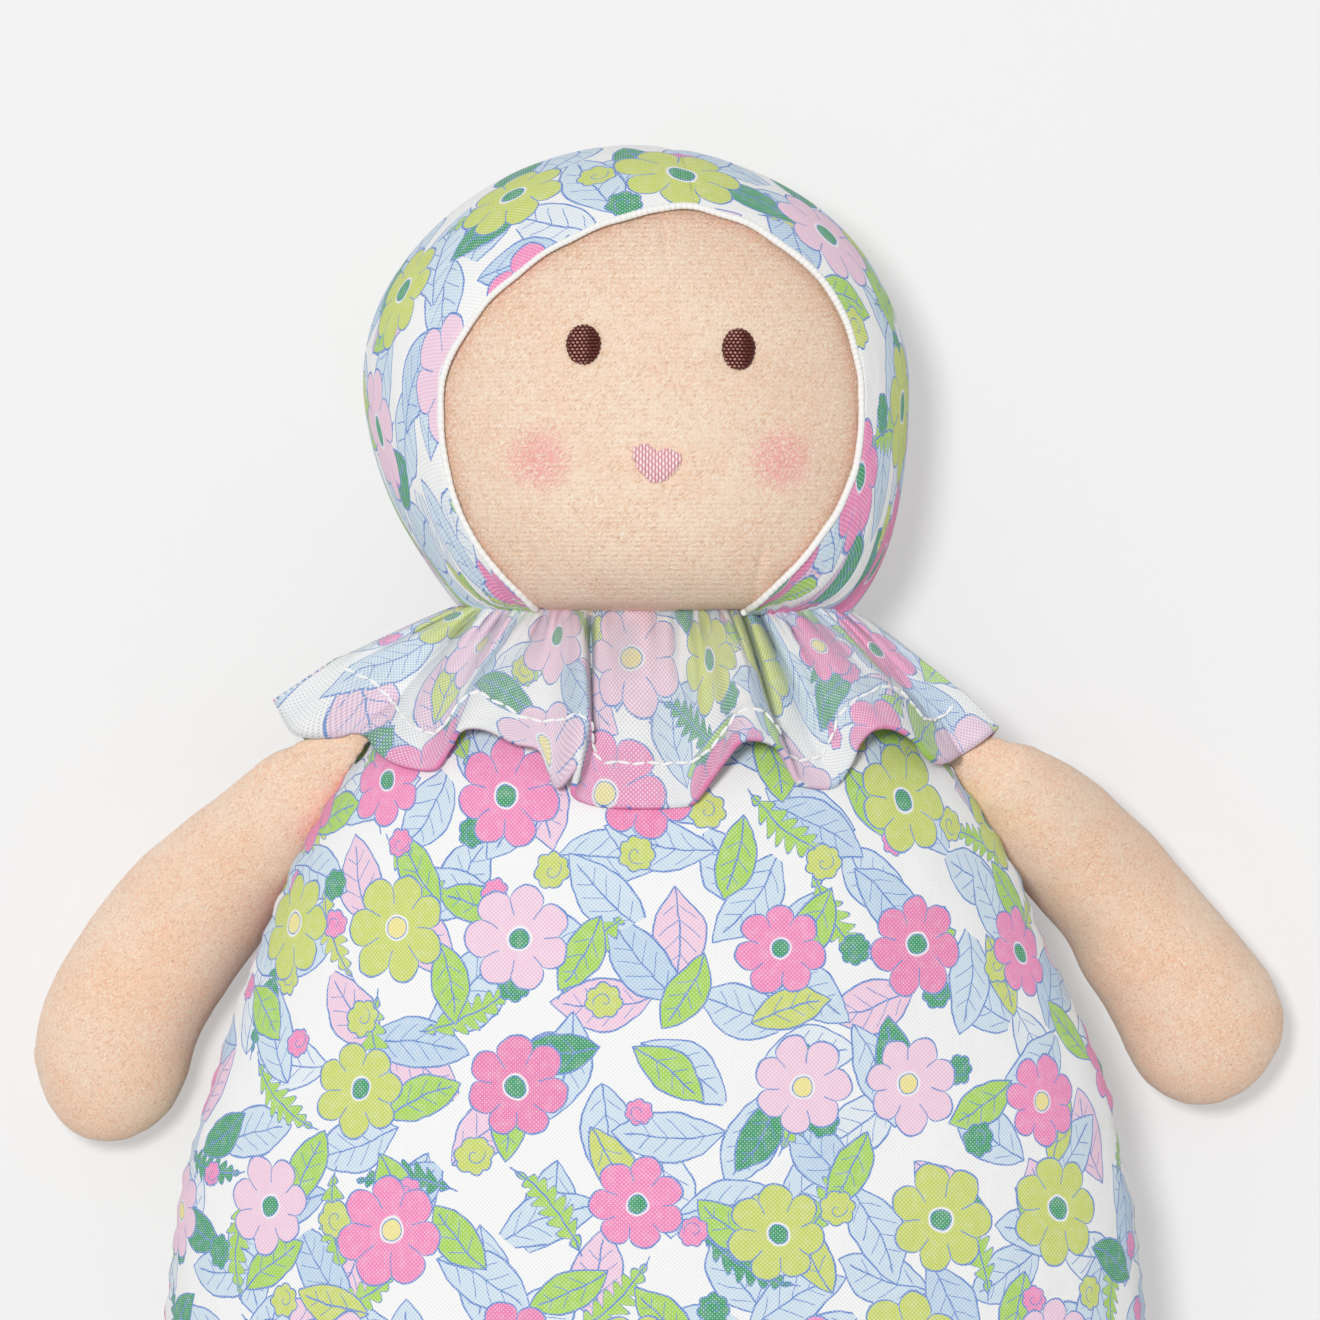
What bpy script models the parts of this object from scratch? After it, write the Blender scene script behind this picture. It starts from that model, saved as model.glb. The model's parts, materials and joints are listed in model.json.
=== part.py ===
"""Rag doll lying on its back: printed hood, collar and body, brushed face, arms and legs.

Units are metres. +X is the side that is on the right when the doll is seen from above, +Y runs
from the feet to the crown and +Z is the doll's front. The floor is at Z = 0, and the origin is
under the middle of the doll's box. Left and right are as seen from above.
"""
import math

import bmesh
import bpy
from mathutils import Matrix, Vector

# Cloth and clearances
SEAM_GAP = 0.0003
CLOTH_WALL = 0.0008
FILLING_GAP = 0.0008
PRESSED_FLAT = 0.0005

# Depth, front to back, which the head and the body share
HALF_DEPTH = 0.029
MID_HEIGHT = HALF_DEPTH - PRESSED_FLAT

# Head and hood, measured from the neck seam
NECK_TO_WIDEST = 0.03375
WIDEST_TO_CROWN = 0.0357
WIDEST_TO_CHIN_ROUND = 0.0478
HEAD_HALF_WIDTH = 0.041
HEAD_LEAN = 0.003
HEAD_TURN_DEG = 5.0
NECK_HALF_DEPTH = 0.0032
CHIN_ROUND_POWER = 3.2
CHIN_DROP_POWER = 0.5
HEAD_FILLING_GAP = 0.0016
NECK_FILLING_GAP = 0.0050
HEAD_CUTTER_SIZE = 4 * HEAD_HALF_WIDTH

# Face opening, as angles from the middle of the face
OPENING_SIDE_DEG = 51.0
OPENING_TOP_LESS_DEG = 2.5
OPENING_FOOT_SKEW_DEG = 11.0
FACE_TUCK_DEG = 3.0
FACE_FOOT_SHARE = 1.3
FACE_SETBACK = 0.0014
PIPING_RADIUS = 0.0006

# Embroidery: places are from the neck seam and the body's middle line
LEFT_EYE_X = -0.01095
RIGHT_EYE_X = 0.0124
EYE_Y = 0.0395
EYE_HALF_WIDTH = 0.0026
EYE_HALF_HEIGHT = 0.0031
HEART_Y = 0.02205
HEART_HALF_WIDTH = 0.00375
HEART_HALF_HEIGHT = 0.003
STITCH_RISE = 0.0007
STITCH_EDGE = 0.0003

# Collar: how far its hem lies from the neck seam
COLLAR_CLOTH = 0.0009
COLLAR_RIGHT = 0.051
COLLAR_LEFT = 0.0572
COLLAR_RIGHT_DROP = 0.0175
COLLAR_LEFT_DROP = 0.0140
COLLAR_FRONT_DROP = 0.0290
COLLAR_LIFT = 0.0024
COLLAR_OVER_ARM = 0.0070
COLLAR_UNDER_ARM = 0.0095
COLLAR_BACK_CLEARANCE = 0.0012
COLLAR_FOLD_RISE = 0.0080
COLLAR_FOLD_DRAW_SHARE = 0.36
COLLAR_FALL_POWER = 1.4
COLLAR_RISE_POWER = 0.75
COLLAR_TIP_FOLD = 6
COLLAR_FRONT_COLUMNS = 70
COLLAR_BACK_COLUMNS = 30
COLLAR_ROWS = 5
# Place of each main fold across the collar's front, its half width, and its size, as shares
COLLAR_FOLD_SHARES = (
    (-0.73, 0.075, 0.60),
    (-0.43, 0.110, 1.00),
    (0.26, 0.085, 0.80),
    (0.63, 0.085, 0.85),
)

# Body
BODY_LENGTH = 0.172
BODY_HALF_WIDTH = 0.0735
NECK_HALF_GAP = COLLAR_CLOTH / 2 + SEAM_GAP
# Share of the body's length from the neck, of its half width and of its half depth
BODY_SHARES = (
    (0.000, 0.395, 0.10),
    (0.020, 0.425, 0.30),
    (0.055, 0.485, 0.49),
    (0.100, 0.565, 0.65),
    (0.155, 0.665, 0.78),
    (0.225, 0.755, 0.87),
    (0.340, 0.860, 0.95),
    (0.515, 0.960, 1.00),
    (0.690, 1.000, 1.00),
    (0.800, 0.975, 0.96),
    (0.880, 0.915, 0.86),
    (0.940, 0.820, 0.68),
    (0.975, 0.715, 0.46),
    (0.993, 0.610, 0.23),
    (1.000, 0.540, 0.07),
)
HIP_SINK = 0.0125
HIP_SINK_FROM_SHARE = 0.78
BODY_HOLLOW_ROWS = slice(1, 14)
BODY_FILLED_ROWS = slice(1, 12)

# Arms: the shoulder fold's place outside the body's edge and down from the neck, then the bend
# and the fingertip of the arm's middle line, as steps outwards and down from the fold
LEFT_ARM = (Vector((0.0054, 0.0218)), Vector((0.0258, 0.0215)), Vector((0.0352, 0.0567)))
RIGHT_ARM = (Vector((0.0039, 0.0222)), Vector((0.0239, 0.0177)), Vector((0.0386, 0.0510)))
ARM_HALF_WIDTH = 0.0123
ARM_HALF_DEPTH = 0.0105
ARM_DROP_SHARE = 0.6
ARM_SIDE_GAP = 0.0012
# Share of the arm's length from the shoulder, of its half width and of its half depth
ARM_SHARES = (
    (0.00, 0.30, 0.024),
    (0.02, 0.34, 0.048),
    (0.10, 0.49, 0.40),
    (0.20, 0.63, 0.58),
    (0.33, 0.81, 0.78),
    (0.46, 0.95, 0.93),
    (0.58, 1.00, 1.00),
    (0.70, 0.975, 0.98),
    (0.80, 0.93, 0.92),
    (0.88, 0.82, 0.81),
    (0.94, 0.64, 0.63),
    (0.98, 0.42, 0.42),
    (1.00, 0.20, 0.22),
)
ARM_HOLLOW_ROWS = slice(2, 12)
ARM_FILLED_ROWS = slice(3, 12)

# Legs
LEG_LENGTH = 0.052
LEG_SPACING = 0.0225
LEG_SPLAY_DEG = 7.0
LEG_HALF_WIDTH = 0.0160
LEG_HALF_DEPTH = 0.0125
LEG_DROP_SHARE = 0.60
# Share of the leg's length from the hip, of its half width and of its half depth
LEG_SHARES = (
    (0.00, 0.60, 0.020),
    (0.025, 0.62, 0.043),
    (0.12, 0.72, 0.42),
    (0.27, 0.85, 0.70),
    (0.44, 0.95, 0.90),
    (0.60, 1.00, 1.00),
    (0.75, 0.98, 0.98),
    (0.86, 0.87, 0.86),
    (0.94, 0.66, 0.66),
    (0.98, 0.43, 0.43),
    (1.00, 0.22, 0.24),
)
LEG_HOLLOW_ROWS = slice(2, 10)
LEG_FILLED_ROWS = slice(3, 10)

# Flat sewn ends of the limbs, from the body's seam to the fold that the limb turns on
SEWN_END_HALF_THICKNESS = 0.0006
SHOULDER_END_LENGTH = 0.0115
HIP_END_LENGTH = 0.0030

# Fineness
SECTION_STEPS = 18
LIMB_STEPS = 8
LIMB_SLOPE_SHARE = 0.02
PRESS_STEPS = 12
HEAD_SPOKES = 36
FACE_RINGS = 6
HOOD_RINGS = 10
PAD_SPOKES = 16
PAD_RINGS = 3


def clear_scene():
    for old in list(bpy.data.objects):
        bpy.data.objects.remove(old, do_unlink=True)


def collection(name):
    made = bpy.data.collections.new(name)
    bpy.context.scene.collection.children.link(made)
    return made


def material(name, colour, roughness):
    made = bpy.data.materials.new(name)
    made.use_nodes = True
    shader = made.node_tree.nodes["Principled BSDF"]
    shader.inputs["Base Color"].default_value = (*colour, 1.0)
    shader.inputs["Roughness"].default_value = roughness
    shader.inputs["Metallic"].default_value = 0.0
    made.diffuse_color = (*colour, 1.0)
    return made


def add_object(group, name, bm, look, pivot):
    """A named object whose origin lies on its joint's axis, with its faces turned outwards."""
    bmesh.ops.recalc_face_normals(bm, faces=bm.faces)
    if bm.calc_volume(signed=True) < 0:
        bmesh.ops.reverse_faces(bm, faces=bm.faces)
    mesh = bpy.data.meshes.new(name)
    bm.to_mesh(mesh)
    bm.free()
    mesh.transform(Matrix.Translation(-pivot))
    mesh.materials.append(material(name, *look))
    mesh.shade_smooth()
    made = bpy.data.objects.new(name, mesh)
    made.location = pivot + FRAME_SHIFT
    group.objects.link(made)
    return made


def mix(low, high, share):
    return low + (high - low) * share


def ease(share):
    share = max(0.0, min(1.0, share))
    return share * share * (3 - 2 * share)


def on_floor(point):
    """Presses the rounded back flat where the doll lies on it."""
    return Vector((point.x, point.y, max(point.z, 0.0)))


# Walls and fillings, lofted from rows of points


def skin_rows(bm, rows, closed=False):
    """Quads between neighbouring rows, which go all the way round when closed."""
    for low, high in zip(rows, rows[1:]):
        count = len(low)
        for k in range(count if closed else count - 1):
            n = (k + 1) % count
            bm.faces.new((low[k], low[n], high[n], high[k]))


def rows_of_verts(bm, rows):
    return [[bm.verts.new(p) for p in row] for row in rows]


def half_wall(outer, inner, hollow_rows):
    """One half of a sewn skin: a wall between two surfaces, cut off flat at the seam.

    The hollow takes up only some of the outer surface's rows, so that both ends are solid.
    """
    bm = bmesh.new()
    out, inn = rows_of_verts(bm, outer), rows_of_verts(bm, inner)
    for surface in (out, inn):
        skin_rows(bm, surface)
        bm.faces.new(surface[0])
        bm.faces.new(surface[-1])
    for side in (0, -1):
        skin_rows(bm, [[row[side] for row in out[hollow_rows]], [row[side] for row in inn]])
    ends = (out[: hollow_rows.start + 1], inn[0]), (out[: hollow_rows.stop - 2 : -1], inn[-1])
    for rows, hollow_end in ends:
        near, far = [row[0] for row in rows], [row[-1] for row in rows]
        bm.faces.new([hollow_end[0], *reversed(near), *far, hollow_end[-1]])
    return bm


def filling(loops):
    """A closed solid through whole loops of points, with both ends capped."""
    bm = bmesh.new()
    rings = rows_of_verts(bm, loops)
    skin_rows(bm, rings, closed=True)
    bm.faces.new(rings[0])
    bm.faces.new(rings[-1])
    return bm


def half_section(station, side, inset, steps):
    """Points over the front (side 1) or back (side -1) of one oval section, seam to seam."""
    centre, across, up = station
    wide, deep = across.length - inset, up.length - inset
    across, up = across.normalized(), up.normalized()
    seam = SEAM_GAP / 2
    points = []
    for k in range(steps + 1):
        angle = math.pi * k / steps
        rise = seam + (deep - seam) * math.sin(angle)
        points.append(on_floor(centre + across * wide * math.cos(angle) + up * side * rise))
    return points


def whole_section(station, inset, steps):
    centre, across, up = station
    wide, deep = across.length - inset, up.length - inset
    across, up = across.normalized(), up.normalized()
    loop = []
    for k in range(2 * steps):
        angle = math.pi * k / steps
        point = centre + across * wide * math.cos(angle) + up * deep * math.sin(angle)
        loop.append(Vector((point.x, point.y, max(point.z, inset))))
    return loop


def raised(rows, height):
    return [[Vector((p.x, p.y, max(p.z, height))) for p in row] for row in rows]


def sewn_half(stations, side, steps, hollow_rows):
    outer = [half_section(s, side, 0.0, steps) for s in stations]
    inner = [half_section(s, side, CLOTH_WALL, steps) for s in stations[hollow_rows]]
    return half_wall(outer, raised(inner, CLOTH_WALL), hollow_rows)


def stuffed(stations, steps):
    inset = CLOTH_WALL + FILLING_GAP
    return filling([whole_section(s, inset, steps) for s in stations])


# Body


def body_y(share):
    return mix(-NECK_HALF_GAP, -BODY_LENGTH, share)


def body_middle(share):
    """Height of the body's middle plane, which sinks towards the bottom seam."""
    sunk = (share - HIP_SINK_FROM_SHARE) / (1 - HIP_SINK_FROM_SHARE)
    return MID_HEIGHT - HIP_SINK * ease(sunk)


def body_stations():
    stations = []
    for along, wide, deep in BODY_SHARES:
        centre = Vector((0, body_y(along), body_middle(along)))
        across = Vector((BODY_HALF_WIDTH * wide, 0, 0))
        stations.append((centre, across, Vector((0, 0, HALF_DEPTH * deep))))
    return stations


def body_halves(y):
    """Half width and half depth of the body at a distance from the neck seam."""
    share = (y + NECK_HALF_GAP) / (NECK_HALF_GAP - BODY_LENGTH)
    share = max(0.0, min(1.0, share))
    for low, high in zip(BODY_SHARES, BODY_SHARES[1:]):
        if share <= high[0]:
            part = (share - low[0]) / (high[0] - low[0])
            wide, deep = mix(low[1], high[1], part), mix(low[2], high[2], part)
            return BODY_HALF_WIDTH * wide, HALF_DEPTH * deep
    return BODY_HALF_WIDTH * BODY_SHARES[-1][1], HALF_DEPTH * BODY_SHARES[-1][2]


def body_rise(x, y):
    """How far the body's front stands over its middle plane."""
    wide, deep = body_halves(y)
    return deep * math.sqrt(max(0.0, 1 - (x / wide) ** 2))


def build_body(group):
    stations = body_stations()
    pivot = Vector((0, 0, MID_HEIGHT))
    for name, side in (("body_front", 1), ("body_back", -1)):
        half = sewn_half(stations, side, SECTION_STEPS, BODY_HOLLOW_ROWS)
        add_object(group, name, half, PRINT, pivot)
    filled = stuffed(stations[BODY_FILLED_ROWS], SECTION_STEPS)
    add_object(group, "body_stuffing", filled, FIBRE, pivot)


# Head


def chin_depth(y):
    """Half depth of the head below its widest line, pinched in to the neck seam."""
    fall = (NECK_TO_WIDEST - y) / (NECK_TO_WIDEST - NECK_HALF_GAP)
    if fall >= 1:
        return NECK_HALF_DEPTH
    round_off = (1 - fall**CHIN_ROUND_POWER) ** CHIN_DROP_POWER
    return mix(NECK_HALF_DEPTH, HALF_DEPTH, round_off)


def head_middle(y):
    return -HEAD_LEAN * ease(y / NECK_TO_WIDEST)


def head_section(rise, inset):
    """Place along the head and half sizes there; rise is 1 at the crown and 0 at the widest line."""
    reach = math.sqrt(max(0.0, 1 - rise * rise))
    wide = (HEAD_HALF_WIDTH - inset) * reach
    if rise >= 0:
        return NECK_TO_WIDEST + rise * (WIDEST_TO_CROWN - inset), wide, (HALF_DEPTH - inset) * reach
    y = NECK_TO_WIDEST + rise * WIDEST_TO_CHIN_ROUND
    return y, wide, max(SEAM_GAP, chin_depth(y - inset) - inset)


def head_point(tilt, spoke, inset):
    """A point of the head: tilt is the angle from the middle of the face, spoke the way round it."""
    turn = math.radians(HEAD_TURN_DEG)
    x, rise = math.sin(tilt) * math.cos(spoke), math.sin(tilt) * math.sin(spoke)
    z = math.cos(tilt)
    x, z = x * math.cos(turn) + z * math.sin(turn), z * math.cos(turn) - x * math.sin(turn)
    reach = math.hypot(x, z)
    y, wide, deep = head_section(rise, inset)
    height = MID_HEIGHT + deep * z / reach
    return Vector((head_middle(y) + wide * x / reach, y, max(height, inset)))


def opening_tilt(spoke):
    """Angle from the middle of the face to the edge of its opening."""
    less = OPENING_TOP_LESS_DEG
    if math.sin(spoke) < 0:
        less = OPENING_FOOT_SKEW_DEG * math.cos(spoke)
    return math.radians(OPENING_SIDE_DEG - less * math.sin(spoke) ** 2)


def head_rings(first, last, count, inset):
    """Rings of points round the face, from one tilt to another; each tilt may follow the spoke."""
    rings = []
    for r in range(count + 1):
        ring = []
        for k in range(HEAD_SPOKES):
            spoke = 2 * math.pi * (k + 0.5) / HEAD_SPOKES
            ring.append(head_point(mix(first(spoke), last(spoke), r / count), spoke, inset))
        rings.append(ring)
    return rings


def cap(bm, ring, point):
    tip = bm.verts.new(point)
    for k, corner in enumerate(ring):
        bm.faces.new((corner, ring[(k + 1) % len(ring)], tip))


def head_cutter(group, name, x, y):
    """A block that is larger than the head, with its middle at a place seen from above."""
    bpy.ops.mesh.primitive_cube_add(size=1.0)
    block = bpy.context.object
    block.name = name
    block.scale = (HEAD_CUTTER_SIZE, HEAD_CUTTER_SIZE, HEAD_CUTTER_SIZE)
    block.location = FRAME_SHIFT + Vector((x, y, MID_HEIGHT))
    for owner in list(block.users_collection):
        owner.objects.unlink(block)
    group.objects.link(block)
    block.hide_render = True
    block.display_type = "WIRE"
    return block


def neck_cutter(group, name, clearance):
    """A block over all that lies past the neck end of the head."""
    return head_cutter(group, name, 0, NECK_HALF_GAP + clearance - HEAD_CUTTER_SIZE / 2)


def cut(target, cutter):
    made = target.modifiers.new("cut_" + cutter.name, "BOOLEAN")
    made.operation = "DIFFERENCE"
    made.solver = "EXACT"
    made.object = cutter


def face_start(spoke):
    return opening_tilt(spoke) / FACE_RINGS


def tuck_tilt(spoke):
    return opening_tilt(spoke) + math.radians(FACE_TUCK_DEG)


def face_edge(spoke):
    """The face runs on under the hood's edge, apart from the foot of the opening."""
    foot = ease(-FACE_FOOT_SHARE * math.sin(spoke))
    return mix(tuck_tilt(spoke), opening_tilt(spoke), foot)


def hood_start(spoke):
    return opening_tilt(spoke) + (PIPING_RADIUS + SEAM_GAP) / HEAD_HALF_WIDTH


def hood_finish(spoke):
    return math.pi * (HOOD_RINGS - 1) / HOOD_RINGS


def back_rings(inset):
    return head_rings(tuck_tilt, hood_finish, HOOD_RINGS - 2, inset)


def build_face(group, neck_end):
    bm = bmesh.new()
    rims = []
    for inset in (FACE_SETBACK, FACE_SETBACK + CLOTH_WALL):
        rings = rows_of_verts(bm, head_rings(face_start, face_edge, FACE_RINGS - 1, inset))
        skin_rows(bm, rings, closed=True)
        cap(bm, rings[0], head_point(0.0, 0.0, inset))
        rims.append(rings[-1])
    skin_rows(bm, rims, closed=True)
    face = add_object(group, "face_panel", bm, VELOUR, NECK_PIVOT)
    cut(face, neck_end)


def hood_wall():
    """The whole hood before its middle seam parts it."""
    bm = bmesh.new()
    rims = []
    for inset in (0.0, CLOTH_WALL):
        rings = rows_of_verts(bm, head_rings(hood_start, tuck_tilt, 1, inset)[:1] + back_rings(inset))
        skin_rows(bm, rings, closed=True)
        cap(bm, rings[-1], head_point(math.pi, 0.0, inset))
        rims.append(rings[0])
    skin_rows(bm, rims, closed=True)
    return bm


def build_hood(group, cutters, neck_end):
    for name, side in (("hood_left", -1), ("hood_right", 1)):
        half = add_object(group, name, hood_wall(), PRINT, NECK_PIVOT)
        cut(half, neck_end)
        middle = -HEAD_LEAN - side * (HEAD_CUTTER_SIZE - SEAM_GAP) / 2
        cut(half, head_cutter(cutters, name + "_middle_seam", middle, NECK_TO_WIDEST))


def build_head_stuffing(group, cutters):
    inset = FACE_SETBACK + CLOTH_WALL + HEAD_FILLING_GAP
    bm = bmesh.new()
    front = head_rings(face_start, face_edge, FACE_RINGS - 1, inset)
    rings = rows_of_verts(bm, front + back_rings(inset)[1:])
    skin_rows(bm, rings, closed=True)
    cap(bm, rings[0], head_point(0.0, 0.0, inset))
    cap(bm, rings[-1], head_point(math.pi, 0.0, inset))
    filling_end = neck_cutter(cutters, "filling_end", NECK_FILLING_GAP)
    cut(add_object(group, "head_stuffing", bm, FIBRE, NECK_PIVOT), filling_end)


def build_piping(group):
    """A tube on the edge of the hood, open where the opening runs into the neck seam."""
    points = []
    lowest = NECK_HALF_GAP + PIPING_RADIUS
    count = 2 * HEAD_SPOKES
    for k in range(count + 1):
        spoke = -math.pi / 2 + 2 * math.pi * k / count
        point = head_point(opening_tilt(spoke), spoke, 0.0)
        if point.y > lowest:
            points.append(point)
    curve = bpy.data.curves.new("hood_piping", "CURVE")
    curve.dimensions = "3D"
    curve.bevel_depth = PIPING_RADIUS
    curve.bevel_resolution = 1
    curve.use_fill_caps = True
    spline = curve.splines.new("POLY")
    spline.points.add(len(points) - 1)
    for knot, point in zip(spline.points, points):
        knot.co = (*(point - NECK_PIVOT), 1.0)
    curve.materials.append(material("hood_piping", *PIPING))
    made = bpy.data.objects.new("hood_piping", curve)
    made.location = NECK_PIVOT + FRAME_SHIFT
    group.objects.link(made)


# Embroidery on the face


def face_height(x, y, inset):
    below = y < NECK_TO_WIDEST
    span = WIDEST_TO_CHIN_ROUND if below else WIDEST_TO_CROWN - inset
    _, wide, deep = head_section((y - NECK_TO_WIDEST) / span, inset)
    return MID_HEIGHT + deep * math.sqrt(max(0.0, 1 - ((x - head_middle(y)) / wide) ** 2))


def oval(angle):
    return Vector((math.cos(angle), math.sin(angle)))


def heart(angle):
    """The usual heart curve: one unit to each side, its notch at the top, its point at the foot."""
    x = math.sin(angle) ** 3
    y = (13 * math.cos(angle) - 5 * math.cos(2 * angle) - 2 * math.cos(3 * angle)) / 16
    return Vector((x, y - math.cos(4 * angle) / 16))


def build_pad(group, name, outline, middle, halves, look):
    """A raised patch of satin stitch that follows the face."""
    bm = bmesh.new()
    sides = []
    for top in (False, True):
        rings = []
        for r in range(1, PAD_RINGS + 1):
            share = r / PAD_RINGS
            rise = SEAM_GAP
            if top:
                rise += mix(STITCH_RISE, STITCH_EDGE, share**2)
            ring = []
            for k in range(PAD_SPOKES):
                corner = outline(2 * math.pi * k / PAD_SPOKES)
                x = middle.x + corner.x * halves.x * share
                y = middle.y + corner.y * halves.y * share
                ring.append(Vector((x, y, face_height(x, y, FACE_SETBACK) + rise)))
            rings.append(ring)
        verts = rows_of_verts(bm, rings)
        skin_rows(bm, verts, closed=True)
        rise = SEAM_GAP + (STITCH_RISE if top else 0.0)
        tip = Vector((middle.x, middle.y, face_height(middle.x, middle.y, FACE_SETBACK) + rise))
        cap(bm, verts[0], tip)
        sides.append(verts[-1])
    skin_rows(bm, sides, closed=True)
    add_object(group, name, bm, look, NECK_PIVOT)


def build_embroidery(group):
    eye = Vector((EYE_HALF_WIDTH, EYE_HALF_HEIGHT))
    build_pad(group, "left_eye", oval, Vector((LEFT_EYE_X, EYE_Y)), eye, BROWN_THREAD)
    build_pad(group, "right_eye", oval, Vector((RIGHT_EYE_X, EYE_Y)), eye, BROWN_THREAD)
    mouth = Vector((HEART_HALF_WIDTH, HEART_HALF_HEIGHT))
    build_pad(group, "heart_mouth", heart, Vector((0.0, HEART_Y)), mouth, PINK_THREAD)


# Collar


def fold_size(side):
    """How much of a main fold stands at a place across the collar's front, from -1 to 1."""
    return sum(size * math.exp(-(((side - place) / half) ** 2))
               for place, half, size in COLLAR_FOLD_SHARES)


def collar_point(around, out):
    """Middle of the collar's cloth: around is the way round the neck, out runs from seam to hem."""
    side, front = math.cos(around), math.sin(around)
    fold = fold_size(side) if front > 0 else 0.0
    neck_half_width = BODY_HALF_WIDTH * BODY_SHARES[0][1]
    tip_x, tip_drop = COLLAR_LEFT, COLLAR_LEFT_DROP
    if side > 0:
        tip_x, tip_drop = COLLAR_RIGHT, COLLAR_RIGHT_DROP
    hem_x = side * tip_x
    drop = mix(tip_drop, COLLAR_FRONT_DROP, abs(front))
    hem_y = -drop * (1 - COLLAR_FOLD_DRAW_SHARE * fold)
    cover = body_rise(hem_x, hem_y) + COLLAR_LIFT
    if front > 0:
        hem_rise = max(COLLAR_OVER_ARM, cover) + COLLAR_FOLD_RISE * fold
    else:
        hem_rise = min(max(COLLAR_UNDER_ARM, cover), MID_HEIGHT - COLLAR_BACK_CLEARANCE)
    hem_rise *= ease(abs(front) * COLLAR_TIP_FOLD)
    x = mix(neck_half_width * side, hem_x, out)
    y = hem_y * out**COLLAR_FALL_POWER
    rise = mix(NECK_HALF_DEPTH * abs(front), hem_rise, out**COLLAR_RISE_POWER)
    return Vector((x, y, MID_HEIGHT + math.copysign(rise, front)))


def collar_angles():
    front = [math.pi * k / COLLAR_FRONT_COLUMNS for k in range(COLLAR_FRONT_COLUMNS)]
    back = [math.pi * (1 + k / COLLAR_BACK_COLUMNS) for k in range(COLLAR_BACK_COLUMNS)]
    return front + back


def build_collar(group):
    bm = bmesh.new()
    rows = []
    for r in range(COLLAR_ROWS + 1):
        out = r / COLLAR_ROWS
        rows.append([bm.verts.new(collar_point(angle, out)) for angle in collar_angles()])
    skin_rows(bm, rows, closed=True)
    bm.faces.new(rows[0])
    bmesh.ops.recalc_face_normals(bm, faces=bm.faces)
    mesh = bpy.data.meshes.new("collar_ruffle")
    bm.to_mesh(mesh)
    bm.free()
    mesh.materials.append(material("collar_ruffle", *PRINT))
    made = bpy.data.objects.new("collar_ruffle", mesh)
    made.location = FRAME_SHIFT
    group.objects.link(made)
    wall = made.modifiers.new("cloth", "SOLIDIFY")
    wall.thickness = COLLAR_CLOTH
    wall.offset = 0.0


# Limbs


def limb_stations(path, high, shares, half_width, half_depth, drop_share):
    """Oval sections along a limb that comes down from its seam to lie on the floor."""
    start, bend, end = path
    low = half_depth - PRESSED_FLAT

    def middle(t):
        flat = start * (1 - t) ** 2 + bend * 2 * t * (1 - t) + end * t * t
        return Vector((flat.x, flat.y, mix(high, low, ease(t / drop_share))))

    stations = []
    for along, wide, deep in shares:
        ahead, behind = min(1.0, along + LIMB_SLOPE_SHARE), max(0.0, along - LIMB_SLOPE_SHARE)
        forward = (middle(ahead) - middle(behind)).normalized()
        across = Vector((-forward.y, forward.x, 0)).normalized()
        up = across.cross(-forward).normalized()
        if up.z < 0:
            up = -up
        stations.append((middle(along), across * half_width * wide, up * half_depth * deep))
    return stations


def build_limb(group, name, stations, hollow_rows, filled_rows):
    """The two halves of a limb's skin and its filling, which turn on the limb's flat start."""
    pivot = stations[0][0]
    for half, side in (("_front", 1), ("_back", -1)):
        skin = sewn_half(stations, side, LIMB_STEPS, hollow_rows)
        add_object(group, name + half, skin, VELOUR, pivot)
    filled = stuffed(stations[filled_rows], LIMB_STEPS)
    add_object(group, name + "_stuffing", filled, FIBRE, pivot)


def clear_of_body(point):
    return abs(point.x) >= body_halves(point.y)[0] + ARM_SIDE_GAP


def pressed(centre, across, up):
    """An arm's section, narrowed on its inner side where it would lie under the body's side."""
    inner = across if abs((centre + across).x) < abs((centre - across).x) else -across
    if clear_of_body(centre + inner):
        return centre, across, up
    low, high = 0.0, 1.0
    for _ in range(PRESS_STEPS):
        share = (low + high) / 2
        if clear_of_body(centre + inner * (1 - 2 * share)):
            high = share
        else:
            low = share
    return centre - inner * high, across * (1 - high), up


def arm_path(side, arm):
    """The arm's middle line, seen from above, started from the body's edge."""
    fold, bend, fingertip = arm
    start = Vector((body_halves(-fold.y)[0] + fold.x, fold.y))
    places = (start, start + bend, start + fingertip)
    return [Vector((side * place.x, -place.y)) for place in places]


def arm_stations(side, arm):
    path = arm_path(side, arm)
    halves = (ARM_HALF_WIDTH, ARM_HALF_DEPTH)
    stations = limb_stations(path, MID_HEIGHT, ARM_SHARES, *halves, ARM_DROP_SHARE)
    return [pressed(*station) for station in stations]


def leg_stations(side):
    splay = math.radians(LEG_SPLAY_DEG)
    start = Vector((side * LEG_SPACING, -BODY_LENGTH - HIP_END_LENGTH))
    end = start + Vector((side * math.sin(splay), -math.cos(splay))) * LEG_LENGTH
    path = (start, (start + end) / 2, end)
    halves = (LEG_HALF_WIDTH, LEG_HALF_DEPTH)
    return limb_stations(path, body_middle(1.0), LEG_SHARES, *halves, LEG_DROP_SHARE)


def sewn_end(stations, length):
    """The flat end of a limb's skin, from the fold back into the body, whose cutter ends it."""
    centre, across, _ = stations[0]
    back = across.cross(Vector((0, 0, 1))).normalized()
    if back.dot(centre - stations[-1][0]) < 0:
        back = -back
    loops = []
    for reach in (SEAM_GAP, length):
        loop = []
        for side, up in ((1, 1), (-1, 1), (-1, -1), (1, -1)):
            flat = centre + back * reach + across * side
            loop.append(flat + Vector((0, 0, up * SEWN_END_HALF_THICKNESS)))
        loops.append(loop)
    return filling(loops)


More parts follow.
